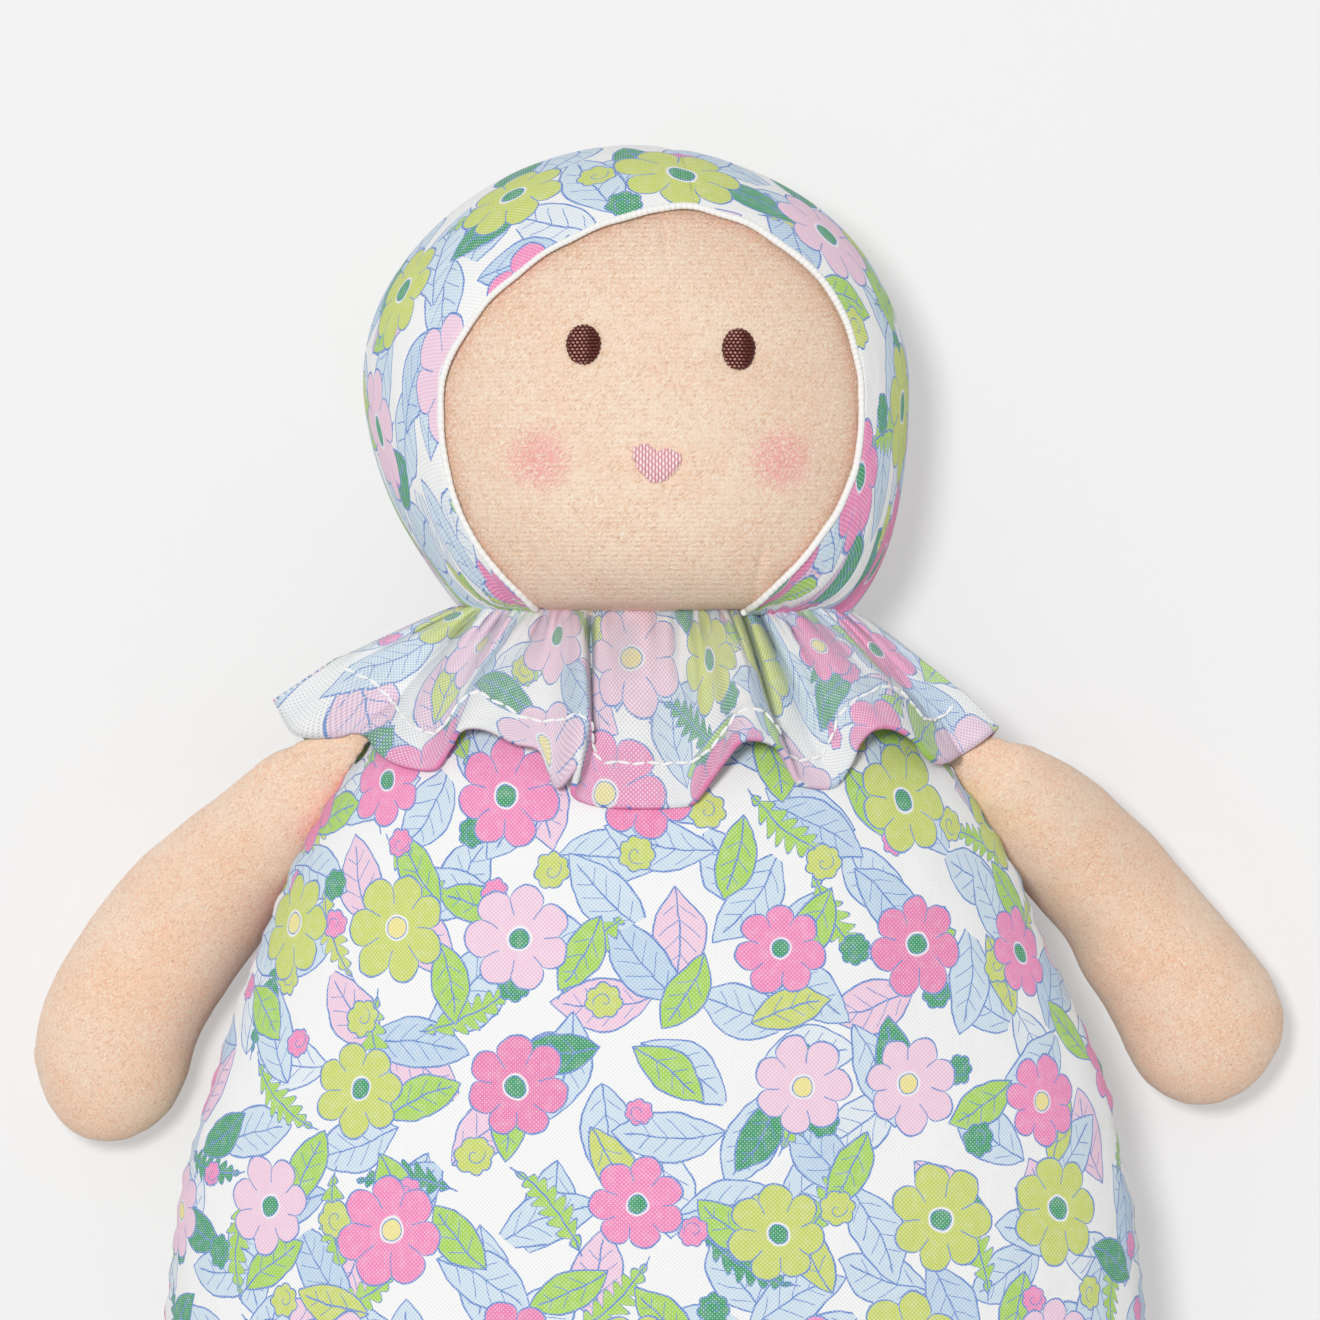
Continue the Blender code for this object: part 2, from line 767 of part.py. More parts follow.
def build_body_cutter(group):
    """The body made larger by the gap that the limbs' sewn ends keep from it."""
    grown = []
    for centre, across, up in body_stations():
        wider = across.normalized() * (across.length + SEAM_GAP)
        grown.append((centre, wider, up.normalized() * (up.length + SEAM_GAP)))
    loops = [whole_section(station, 0.0, SECTION_STEPS) for station in grown]
    block = add_object(group, "body_clearance", filling(loops), FIBRE, Vector((0, 0, 0)))
    block.hide_render = True
    block.display_type = "WIRE"
    return block


def build_limbs(group, cutters):
    body = build_body_cutter(cutters)
    for side, sign, arm in (("left", -1, LEFT_ARM), ("right", 1, RIGHT_ARM)):
        stations = arm_stations(sign, arm)
        build_limb(group, side + "_arm", stations, ARM_HOLLOW_ROWS, ARM_FILLED_ROWS)
        end = sewn_end(stations, SHOULDER_END_LENGTH)
        cut(add_object(group, side + "_arm_end", end, VELOUR, stations[0][0]), body)
    for side, sign in (("left", -1), ("right", 1)):
        stations = leg_stations(sign)
        build_limb(group, side + "_leg", stations, LEG_HOLLOW_ROWS, LEG_FILLED_ROWS)
        end = sewn_end(stations, 2 * HIP_END_LENGTH)
        cut(add_object(group, side + "_leg_end", end, VELOUR, stations[0][0]), body)


def frame_shift():
    """Moves the middle of the doll's box, seen from above, to the origin."""
    spread = []
    for sign, arm in ((-1, LEFT_ARM), (1, RIGHT_ARM)):
        for station in arm_stations(sign, arm):
            spread += [point.x for point in half_section(station, 1, 0.0, LIMB_STEPS)]
    feet = []
    for station in leg_stations(1):
        feet += [point.y for point in half_section(station, 1, 0.0, LIMB_STEPS)]
    crown = NECK_TO_WIDEST + WIDEST_TO_CROWN
    return Vector((-(min(spread) + max(spread)) / 2, -(crown + min(feet)) / 2, 0))


PRINT = ((0.93, 0.78, 0.82), 0.85)
VELOUR = ((0.90, 0.66, 0.47), 0.95)
FIBRE = ((0.92, 0.92, 0.90), 1.0)
PIPING = ((0.94, 0.94, 0.93), 0.8)
BROWN_THREAD = ((0.07, 0.035, 0.02), 0.45)
PINK_THREAD = ((0.90, 0.55, 0.58), 0.45)
NECK_PIVOT = Vector((0, 0, MID_HEIGHT))
FRAME_SHIFT = frame_shift()


def main():
    clear_scene()
    doll = collection("rag_doll")
    cutters = collection("cutters")
    neck_end = neck_cutter(cutters, "neck_end", 0)
    build_body(doll)
    build_head_stuffing(doll, cutters)
    build_face(doll, neck_end)
    build_hood(doll, cutters, neck_end)
    build_piping(doll)
    build_embroidery(doll)
    build_collar(doll)
    build_limbs(doll, cutters)


main()
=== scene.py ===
"""Rag doll lying on its back: fine cloth, print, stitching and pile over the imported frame.

Metres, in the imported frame. Places on the doll are from the neck seam: x to the right seen from
above, y to the crown, z up from the floor that the doll lies on.
"""
import json
import math

import bmesh
import bpy
import numpy as np
from mathutils import Matrix, Vector, noise


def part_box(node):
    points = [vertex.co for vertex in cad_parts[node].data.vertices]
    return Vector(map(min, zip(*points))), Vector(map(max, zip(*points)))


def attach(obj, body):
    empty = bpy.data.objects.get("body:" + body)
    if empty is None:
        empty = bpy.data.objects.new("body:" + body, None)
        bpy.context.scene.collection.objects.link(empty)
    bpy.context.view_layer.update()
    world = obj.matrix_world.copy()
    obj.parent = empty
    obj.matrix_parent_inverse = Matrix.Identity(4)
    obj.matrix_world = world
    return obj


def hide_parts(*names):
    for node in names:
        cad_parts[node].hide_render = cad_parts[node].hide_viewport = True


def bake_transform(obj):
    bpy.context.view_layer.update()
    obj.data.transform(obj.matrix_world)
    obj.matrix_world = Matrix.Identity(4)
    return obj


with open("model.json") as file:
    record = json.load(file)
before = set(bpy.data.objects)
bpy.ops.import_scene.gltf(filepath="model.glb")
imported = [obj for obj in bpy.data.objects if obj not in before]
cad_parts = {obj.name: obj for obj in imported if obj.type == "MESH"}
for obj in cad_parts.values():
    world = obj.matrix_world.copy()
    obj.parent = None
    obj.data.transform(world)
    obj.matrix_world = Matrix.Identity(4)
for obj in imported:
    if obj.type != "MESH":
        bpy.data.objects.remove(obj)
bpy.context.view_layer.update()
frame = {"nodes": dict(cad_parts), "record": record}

MM = 0.001
JOINTS = {joint["name"]: joint for joint in frame["record"]["behaviour"]["joints"]}
NECK = Vector(JOINTS["head_nod"]["pos_m"])
MID_HEIGHT = NECK.z
NECK_PLACE = Vector((NECK.x, NECK.y, 0))

# Shape of the head and the body, as in the frame
HALF_DEPTH = 0.029
NECK_TO_WIDEST = 0.03375
WIDEST_TO_CROWN = 0.0357
WIDEST_TO_CHIN_ROUND = 0.0478
HEAD_HALF_WIDTH = 0.041
HEAD_LEAN = 0.003
HEAD_TURN = math.radians(5)
SEAM_TURN = math.radians(10.5)
NECK_HALF_DEPTH = 0.0100
CHIN_ROUND_POWER = 4.5
FACE_SETBACK = 0.0014
PIPING_RADIUS = 0.0005
# Edge of the face opening: degrees from the middle of the face, for each 10 degrees round it
OPENING_TILTS = (
    49.7, 48.9, 48.7, 48.4, 48.1, 47.9, 48.4, 48.5, 48.1, 45.7, 43.6, 42.5, 41.9, 41.9, 42.5, 43.7,
    45.4, 47.5, 49.8, 51.9, 54.7, 57.6, 58.9, 59.0, 58.5, 56.9, 55.3, 53.6, 52.0, 49.5, 47.5, 46.9,
    47.3, 48.4, 49.9, 50.3,
)
BODY_LENGTH = 0.172
BODY_HALF_WIDTH = 0.0735
BODY_SHARES = (
    (0.000, 0.395, 0.10), (0.020, 0.425, 0.30), (0.055, 0.485, 0.49), (0.100, 0.565, 0.65),
    (0.155, 0.665, 0.78), (0.225, 0.755, 0.87), (0.340, 0.860, 0.95), (0.515, 0.960, 1.00),
    (0.690, 1.000, 1.00), (0.800, 0.975, 0.96), (0.880, 0.915, 0.86), (0.940, 0.820, 0.68),
    (0.975, 0.715, 0.46), (0.993, 0.610, 0.23), (1.000, 0.540, 0.07),
)
HIP_SINK = 0.0125
HIP_SINK_FROM = 0.78

# Collar: for each place along it, in millimetres, the gather's x, then x, y and lift off the
# chest of the topstitch, and x, y and lift of the hem
COLLAR_PLACES = (
    (-30.3, -47.5, -7.3, 1.2, -57.3, -13.8, 2.0),
    (-29.4, -46.2, -8.1, 2.4, -55.9, -16.8, 2.4),
    (-28.3, -43.9, -8.7, 3.2, -53.9, -18.9, 1.6),
    (-26.8, -40.6, -11.1, 3.4, -48.3, -19.1, 1.6),
    (-25.3, -38.2, -14.4, 2.6, -44.1, -18.6, 2.2),
    (-23.8, -36.6, -16.5, 1.8, -40.8, -22.1, 1.3),
    (-22.3, -33.4, -18.4, 1.2, -36.8, -23.6, 1.0),
    (-21.1, -31.0, -17.1, 2.0, -33.1, -23.7, 1.2),
    (-19.9, -29.4, -14.4, 4.0, -31.0, -20.6, 3.6),
    (-18.8, -26.8, -12.0, 6.0, -29.1, -17.8, 6.4),
    (-17.2, -23.6, -13.7, 5.8, -25.6, -17.8, 6.4),
    (-15.8, -20.4, -15.6, 4.4, -21.3, -19.8, 4.6),
    (-14.4, -16.8, -16.5, 3.6, -17.4, -21.0, 4.4),
    (-13.0, -14.1, -15.8, 5.0, -15.0, -26.4, 4.0),
    (-11.8, -10.5, -15.1, 7.6, -11.7, -23.1, 7.0),
    (-10.7, -9.8, -19.2, 3.4, -12.4, -27.3, 2.2),
    (-9.0, -8.8, -21.8, 1.2, -10.0, -28.9, 1.0),
    (-6.5, -5.8, -22.2, 1.0, -6.1, -29.4, 1.0),
    (-2.5, -1.6, -22.5, 1.0, -1.6, -29.5, 1.0),
    (1.1, 2.2, -22.5, 1.2, 2.5, -29.4, 1.0),
    (3.4, 5.0, -22.2, 1.6, 5.2, -28.9, 1.4),
    (5.2, 7.3, -21.3, 2.6, 6.8, -26.8, 3.0),
    (6.5, 9.8, -18.8, 5.2, 9.4, -23.2, 6.2),
    (7.6, 12.0, -15.4, 7.8, 12.0, -19.9, 8.8),
    (9.0, 14.1, -14.4, 9.0, 14.2, -19.3, 9.8),
    (10.2, 16.2, -15.8, 8.4, 16.9, -19.9, 9.2),
    (11.2, 17.8, -18.6, 6.4, 19.1, -21.8, 7.0),
    (12.2, 18.3, -21.1, 3.0, 21.0, -25.6, 2.2),
    (13.3, 20.8, -22.2, 1.4, 23.2, -26.4, 1.2),
    (14.8, 24.1, -21.8, 1.2, 26.4, -26.4, 1.0),
    (16.3, 25.8, -18.9, 3.0, 28.8, -23.2, 3.2),
    (17.8, 26.8, -15.8, 5.4, 30.3, -19.8, 6.4),
    (19.3, 28.9, -13.5, 7.4, 32.4, -17.8, 8.6),
    (20.8, 31.6, -12.0, 8.4, 34.9, -17.6, 9.0),
    (22.3, 34.4, -11.1, 8.4, 38.1, -19.2, 7.8),
    (23.7, 37.0, -13.2, 6.0, 40.8, -22.2, 3.6),
    (24.9, 39.4, -16.2, 3.0, 42.6, -22.9, 1.8),
    (26.1, 41.9, -15.8, 2.4, 45.3, -21.9, 1.8),
    (27.1, 44.2, -14.1, 2.2, 48.6, -19.8, 2.0),
    (28.2, 45.6, -12.4, 1.6, 51.0, -17.8, 2.0),
)
# Small pleats at the gather: place along the collar, half width, depth in millimetres and reach
PLEATS = (
    (0.045, 0.008, 1.0, 0.55), (0.10, 0.008, 1.4, 0.60), (0.155, 0.010, 1.5, 0.45),
    (0.215, 0.008, 1.3, 0.60), (0.27, 0.009, 1.6, 0.40), (0.325, 0.008, 1.4, 0.55),
    (0.395, 0.012, 3.6, 0.95), (0.45, 0.008, 1.2, 0.35), (0.50, 0.009, 1.5, 0.45),
    (0.56, 0.008, 1.3, 0.40), (0.645, 0.008, 1.5, 0.50), (0.70, 0.012, 3.2, 0.90),
    (0.745, 0.009, 2.4, 0.80), (0.80, 0.008, 1.6, 0.60), (0.86, 0.009, 2.2, 0.85),
    (0.915, 0.008, 1.4, 0.60), (0.96, 0.008, 1.0, 0.50),
)
# How far the body's left and right edge go out, in millimetres, each 10 mm down from the neck
BODY_EDGES = (
    (-1.0, -1.5), (-0.7, -1.5), (-0.3, -1.4), (0.0, -0.9), (0.0, -0.6), (0.0, -0.9), (0.3, 0.0),
    (1.2, 1.8), (1.8, 1.6), (1.8, 1.7), (1.8, 1.8),
)
# How far each limb goes to the right, in millimetres, and its extra share of width, each 5 mm
# down from 20 mm below the neck
LIMB_BENDS = {
    "left_arm": ((0.0, -0.03), (1.7, -0.03), (2.8, -0.01), (2.6, 0.01), (2.3, 0.04), (1.3, 0.03),
                 (0.2, 0.03), (-1.2, 0.0), (-1.8, -0.03), (-1.6, -0.02), (-0.9, 0.04), (-0.4, 0.08)),
    "right_arm": ((-1.8, 0.14), (-3.2, 0.14), (-3.7, 0.07), (-3.5, 0.04), (-2.9, 0.01), (-1.3, -0.03),
                  (0.5, -0.06), (1.1, 0.0), (1.5, 0.03), (1.0, 0.06), (0.0, 0.10), (-1.0, 0.10)),
    "left_leg": ((0.0, 0.02), (0.0, 0.02)),
    "right_leg": ((0.0, 0.02), (0.0, 0.02)),
}
LONGER = {"left_arm": 0.014, "right_arm": 0.0, "left_leg": 0.014, "right_leg": 0.014}
TOPSTITCH_SHARE = 0.76
COLLAR_DEPTH = 0.0295
COLLAR_COLUMNS = 390
COLLAR_ROWS = 30
COLLAR_BACK_COLUMNS = 90
COLLAR_BACK_LENGTH = 0.120
SEWN_CLOTH = 0.0006
HEM_CLOTH = 0.0009
THREAD_PITCH = 0.00034
EYE_THREAD = 0.00027
HEART_THREAD = 0.000245
TOPSTITCH_LENGTH = 0.00215
TOPSTITCH_HALF_WIDTH = 0.00028
SIMULATION_STEPS = 20


def mix(low, high, share):
    return low + (high - low) * share


def ease(share):
    share = max(0.0, min(1.0, share))
    return share * share * (3 - 2 * share)


def bell(distance, half):
    return math.exp(-((distance / half) ** 2))


def rounded(p0, p1, p2, p3, t):
    """A curve through four even places, at a share t of the way from the second to the third."""
    bend = 2 * p1 + (p2 - p0) * t + (2 * p0 - 5 * p1 + 4 * p2 - p3) * t * t
    return (bend + (3 * p1 - p0 - 3 * p2 + p3) * t**3) / 2


# Numbers that a material's nodes work out


def worked(operation):
    return lambda self, *others: self.work(operation, *others)


class Amount:
    """A number inside a material; the usual signs and the calls below add nodes to it."""

    def __init__(self, tree, socket):
        self.tree, self.socket = tree, socket

    def work(self, operation, *others):
        node = self.tree.nodes.new("ShaderNodeMath")
        node.operation = operation
        for slot, value in zip(node.inputs, (self, *others)):
            put(self.tree, value, slot)
        return Amount(self.tree, node.outputs[0])

    __add__, __sub__ = worked("ADD"), worked("SUBTRACT")
    __mul__, __truediv__ = worked("MULTIPLY"), worked("DIVIDE")
    sine, cosine, bearing = worked("SINE"), worked("COSINE"), worked("ARCTAN2")
    size, root, power = worked("ABSOLUTE"), worked("SQRT"), worked("POWER")
    least, most, whole = worked("MINIMUM"), worked("MAXIMUM"), worked("FLOOR")

    def rise(self, low, high):
        """0 below low, 1 above high and smooth in between; falls where low is the larger."""
        node = self.tree.nodes.new("ShaderNodeMapRange")
        node.interpolation_type = "SMOOTHSTEP"
        put(self.tree, self, node.inputs["Value"])
        ends = (low, high, 0.0, 1.0) if low < high else (high, low, 1.0, 0.0)
        for key, value in zip(("From Min", "From Max", "To Min", "To Max"), ends):
            node.inputs[key].default_value = value
        return Amount(self.tree, node.outputs["Result"])


def put(tree, value, slot):
    if isinstance(value, Amount):
        value = value.socket
    if isinstance(value, bpy.types.NodeSocket):
        tree.links.new(value, slot)
    else:
        slot.default_value = value


def split(tree, vector):
    node = tree.nodes.new("ShaderNodeSeparateXYZ")
    put(tree, vector, node.inputs[0])
    return [Amount(tree, out) for out in node.outputs]


def joined(tree, x, y, z=0.0):
    node = tree.nodes.new("ShaderNodeCombineXYZ")
    for slot, value in zip(node.inputs, (x, y, z)):
        put(tree, value, slot)
    return node.outputs[0]


def grain(tree, place, size, detail=2.0, roughness=0.5, distortion=0.0):
    """Smooth random numbers round a half, whose features are about that size."""
    node = tree.nodes.new("ShaderNodeTexNoise")
    for key, value in (("Vector", place), ("Scale", 1 / size), ("Detail", detail),
                       ("Roughness", roughness), ("Distortion", distortion)):
        put(tree, value, node.inputs[key])
    return Amount(tree, node.outputs["Fac"])


def tint(tree, share, under, over):
    """The colour under, turned into the colour over by a share."""
    node = tree.nodes.new("ShaderNodeMix")
    node.data_type = "RGBA"
    for number, value in ((0, share), (6, under), (7, over)):
        put(tree, value, node.inputs[number])
    return node.outputs[2]


def pick(tree, share, colours):
    """One of several colours by a random share."""
    node = tree.nodes.new("ShaderNodeValToRGB")
    node.color_ramp.interpolation = "CONSTANT"
    ramp = node.color_ramp.elements
    while len(ramp) < len(colours):
        ramp.new(1.0)
    for k, colour in enumerate(colours):
        ramp[k].position = k / len(colours)
        ramp[k].color = colour
    put(tree, share, node.inputs[0])
    return node.outputs[0]


def colour(code):
    """A colour from its six usual screen digits."""
    parts = [int(code[k:k + 2], 16) / 255 for k in (0, 2, 4)]
    linear = [c / 12.92 if c <= 0.04045 else ((c + 0.055) / 1.055) ** 2.4 for c in parts]
    return (*linear, 1.0)


def new_material(name, roughness, sheen):
    made = bpy.data.materials.new(name)
    made.use_nodes = True
    tree = made.node_tree
    shader = tree.nodes["Principled BSDF"]
    for key, value in (("Roughness", roughness), ("Sheen Weight", sheen),
                       ("Sheen Roughness", 0.5), ("Specular IOR Level", 0.25)):
        shader.inputs[key].default_value = value
    return made, tree, shader


def bumped(tree, shader, height, strength=1.0):
    node = tree.nodes.new("ShaderNodeBump")
    node.inputs["Distance"].default_value = 1.0
    node.inputs["Strength"].default_value = strength
    put(tree, height, node.inputs["Height"])
    tree.links.new(node.outputs["Normal"], shader.inputs["Normal"])


def cloth_place(tree):
    """A point's place on the flat cloth, and a third number: how far it is in front of the side seam, or on
    the face the share of the way to the opening's edge, for its painted shade, or on the collar the depth
    of its folds, for painted shade in them.
    """
    node = tree.nodes.new("ShaderNodeAttribute")
    node.attribute_name = "cloth"
    return split(tree, node.outputs["Vector"])


# The print: layers of scattered motifs, each with a thin blue outline

WHITE = colour("F6F6F5")
LINE = colour("5B86CF")
PINK = colour("F585BC")
DEEP_PINK = colour("EF7CB2")
PALE_PINK = colour("F3CBE0")
LIME = colour("A6D544")
YELLOW_GREEN = colour("CBD85C")
EMERALD = colour("1F9A62")
PALE_BLUE = colour("CDE0EE")
MID_BLUE = colour("BDD5EA")
MIST = colour("E3ECF2")
# Blue-grey painted shade, between the weave's threads and in the collar's folds
PAINTED_SHADE_GREY = colour("A9B4BE")
BUTTER = colour("F2E489")


def motif_cells(tree, x, y, size, shift, spread):
    """Each point's place from its nearest motif's middle, turned at random, and random shares."""
    bearing = shift[0] * 7
    x, y = (x * math.cos(bearing) + y * math.sin(bearing) + shift[0],
            y * math.cos(bearing) - x * math.sin(bearing) + shift[1])
    place = joined(tree, x, y)
    cells = tree.nodes.new("ShaderNodeTexVoronoi")
    cells.voronoi_dimensions = "2D"
    for key, value in (("Vector", place), ("Scale", 1 / size), ("Randomness", spread)):
        put(tree, value, cells.inputs[key])
    middle_x, middle_y, _ = split(tree, cells.outputs["Position"])
    across, along = x - middle_x, y - middle_y
    first, second, third = split(tree, cells.outputs["Color"])
    turn = first * (2 * math.pi)
    cosine, sine = turn.cosine(), turn.sine()
    return across * cosine + along * sine, along * cosine - across * sine, second, third


def round_middle(across, along):
    """How far a place is from its motif's middle, and the angle round it."""
    return (across * across + along * along).root(), along.bearing(across)


def some(edge, draw, shown):
    """The shape's edge where its random draw is one of those shown, and far off elsewhere."""
    return edge.most(draw.rise(shown - 0.001, shown + 0.001) * 0.02 - 0.01)


def inked(tree, under, fill, edge, line=0.00016):
    """A filled shape with its outline: edge is the distance outside the shape's border."""
    inside = edge.rise(0.00006, -0.00006)
    on_line = edge.size().rise(line + 0.00007, line - 0.00005)
    return tint(tree, on_line, tint(tree, inside, under, fill), LINE), inside


def drawn(tree, under, across, line=0.00013, inside=None):
    """A thin blue line where a distance is near nought."""
    share = across.size().rise(line + 0.00006, line - 0.00004)
    if inside is not None:
        share = share * inside
    return tint(tree, share, under, LINE)


def leaves(tree, under, x, y, size, shift, length, width, fills, shown):
    """Broad single leaves with a middle vein and side veins."""
    a, b, second, third = motif_cells(tree, x, y, size, shift, 0.35)
    share = a / length
    bent = b + (a * a) * 14.0
    edge = some(bent.size() - (share * share * -1 + 1) * width, third, shown)
    result, inside = inked(tree, under, pick(tree, second, fills), edge)
    result = drawn(tree, result, bent, inside=inside * share.rise(0.80, 0.72))
    veins = (a - bent.size() * 0.9).work("PINGPONG", 0.0014)
    side = inside * edge.rise(-0.0008, -0.0011) * share.size().rise(0.7, 0.6)
    return drawn(tree, result, veins, line=0.00009, inside=side)


def ferns(tree, under, x, y, size, shift, length, width, fills, shown):
    """Feathered sprigs: a row of small lobes on both sides of a stem."""
    a, b, second, third = motif_cells(tree, x, y, size, shift, 0.35)
    share = a / length
    bent = b - (a * a) * 18.0
    lobes = ((a - bent.size() * 0.5) * (math.pi / 0.0021)).sine().size()
    body = (share * share * -1 + 1) * (lobes * 0.72 + 0.28) * width
    edge = some(bent.size() - body, third, shown)
    result, inside = inked(tree, under, pick(tree, second, fills), edge, line=0.00013)
    stem = share.size().rise(1.15, 1.1) * third.rise(shown + 0.001, shown - 0.001)
    return drawn(tree, result, bent, inside=stem)


def flowers(tree, under, x, y, size, shift, radius, petals, fills, hearts, shown):
    """Many-petalled daisies with petal lines and a ringed middle."""
    a, b, second, third = motif_cells(tree, x, y, size, shift, 0.3)
    reach, angle = round_middle(a, b)
    wave = (angle * (petals / 2)).cosine().size()
    wobble = (angle + second * 9.0).sine() * 0.06 + 1
    scale = third * 0.25 + 0.85
    border = (wave.power(0.6) * 0.30 + 0.70) * radius * wobble * scale
    edge = some(reach - border, second, shown)
    result, inside = inked(tree, under, pick(tree, third, fills), edge)
    notch = (angle * (petals / 2)).cosine() * reach * (2 / petals)
    between = reach.rise(radius * 0.42, radius * 0.46)
    result = drawn(tree, result, notch, line=0.00009, inside=inside * between)
    heart_edge = some(reach - scale * (radius * 0.20), second, shown)
    heart = pick(tree, second * 3.0 - (second * 3.0).whole(), hearts)
    ring = (reach - scale * (radius * 0.25)).rise(0.0002, -0.0002) * inside
    shade = tint(tree, ring, result, WHITE)
    return inked(tree, shade, heart, heart_edge, line=0.00009)[0]


def rounds(tree, under, x, y, size, shift, radius, fills, shown):
    """Small scalloped rounds, each with a curl drawn in it."""
    a, b, second, third = motif_cells(tree, x, y, size, shift, 0.6)
    reach, angle = round_middle(a, b)
    border = ((angle * 3.5).cosine().size() * 0.16 + 0.84) * radius * (third * 0.4 + 0.8)
    edge = some(reach - border, second, shown)
    result, inside = inked(tree, under, pick(tree, third, fills), edge, line=0.00013)
    curl = reach - angle * (radius * 0.11) - radius * 0.36
    near = inside * reach.rise(radius * 0.7, radius * 0.6)
    return drawn(tree, result, curl, line=0.00008, inside=near)


def print_colour(tree, x, y):
    warp_place = joined(tree, x, y)
    x = x + (grain(tree, warp_place, 0.006) - 0.5) * 0.0016
    y = y + (grain(tree, joined(tree, x + 0.31, y), 0.006) - 0.5) * 0.0016
    pale, blues = (PALE_BLUE, PALE_PINK, PALE_BLUE, MIST), (PALE_BLUE, MID_BLUE, PALE_BLUE)
    greens = (LIME, YELLOW_GREEN, LIME, EMERALD, LIME)
    pinks = (PINK, YELLOW_GREEN, PALE_PINK, DEEP_PINK, PALE_PINK, YELLOW_GREEN, PINK, PALE_PINK)
    result = leaves(tree, WHITE, x, y, 0.0150, (0.113, 0.071), 0.0080, 0.0042, pale, 0.97)
    result = leaves(tree, result, x, y, 0.0178, (0.331, 0.212), 0.0090, 0.0041, blues, 0.90)
    result = ferns(tree, result, x, y, 0.0190, (0.517, 0.133), 0.0082, 0.0027, greens, 0.50)
    result = leaves(tree, result, x, y, 0.0172, (0.621, 0.355), 0.0068, 0.0032, greens, 0.78)
    result = rounds(tree, result, x, y, 0.0130, (0.271, 0.403), 0.0026, (PINK, EMERALD, YELLOW_GREEN), 0.50)
    hearts = (EMERALD, BUTTER, EMERALD)
    return flowers(tree, result, x, y, 0.0222, (0.447, 0.527), 0.0086, 7, pinks, hearts, 0.86)


def weave(tree, x, y):
    """The plain weave's crossings, and its height with thicker threads here and there."""
    pitch = math.pi / THREAD_PITCH
    threads = (x * pitch).cosine() * (y * pitch).cosine()
    slubs_x = grain(tree, joined(tree, x * 0.09, y), 0.0004, detail=1.0)
    slubs_y = grain(tree, joined(tree, x, y * 0.09), 0.0004, detail=1.0)
    return threads, threads * 0.35 + slubs_x + slubs_y


# The third cloth coordinate where a piece is flat
FLAT = 0.01


def printed_cotton(name, shift, gathered=False):
    """The cotton of one cut piece; shift is its place on the printed length.

    A gathered piece carries the depth of its folds too, and has painted shade in them. Its folded edge
    shows no threads.
    """
    made, tree, shader = new_material(name, 0.86, 0.08)
    x, y, front = cloth_place(tree)
    off_fold = (y + COLLAR_DEPTH).size()
    back = front.rise(0.00002, -0.00002)
    x, y = x + shift[0] + back * 0.137, y + shift[1] + back * 0.061
    threads, cloth = weave(tree, x, y)
    if gathered:
        threads = threads * off_fold.rise(0.00001, 0.00004)
    bare, shaded = (0.84, 0.66) if gathered else (0.50, 0.32)
    ink = print_colour(tree, x, y)
    worn = grain(tree, joined(tree, x, y), 0.0016, detail=3.0)
    raised = threads.rise(0.10, 0.95) * bare + (cloth - 1.0).rise(0.05, 0.75) * 0.16
    ink = tint(tree, raised + worn.rise(0.40, 0.8) * 0.14, ink, WHITE)
    # Painted shade in the weave's low crossings, between the threads
    ink = tint(tree, threads.rise(-0.1, -0.95) * shaded, ink, PAINTED_SHADE_GREY)
    if gathered:
        # Painted shade in the collar's folds, darker where they sink deeper
        ink = tint(tree, (front - FLAT).rise(-0.0010, 0.0020) * 0.50, ink, PAINTED_SHADE_GREY)
    shader.inputs["Base Color"].default_value = WHITE
    put(tree, ink, shader.inputs["Base Color"])
    creases = grain(tree, joined(tree, x, y), 0.007, detail=2.0, roughness=0.45)
    bumped(tree, shader, cloth * 0.00005 + creases * 0.0006, 0.8)
    return made


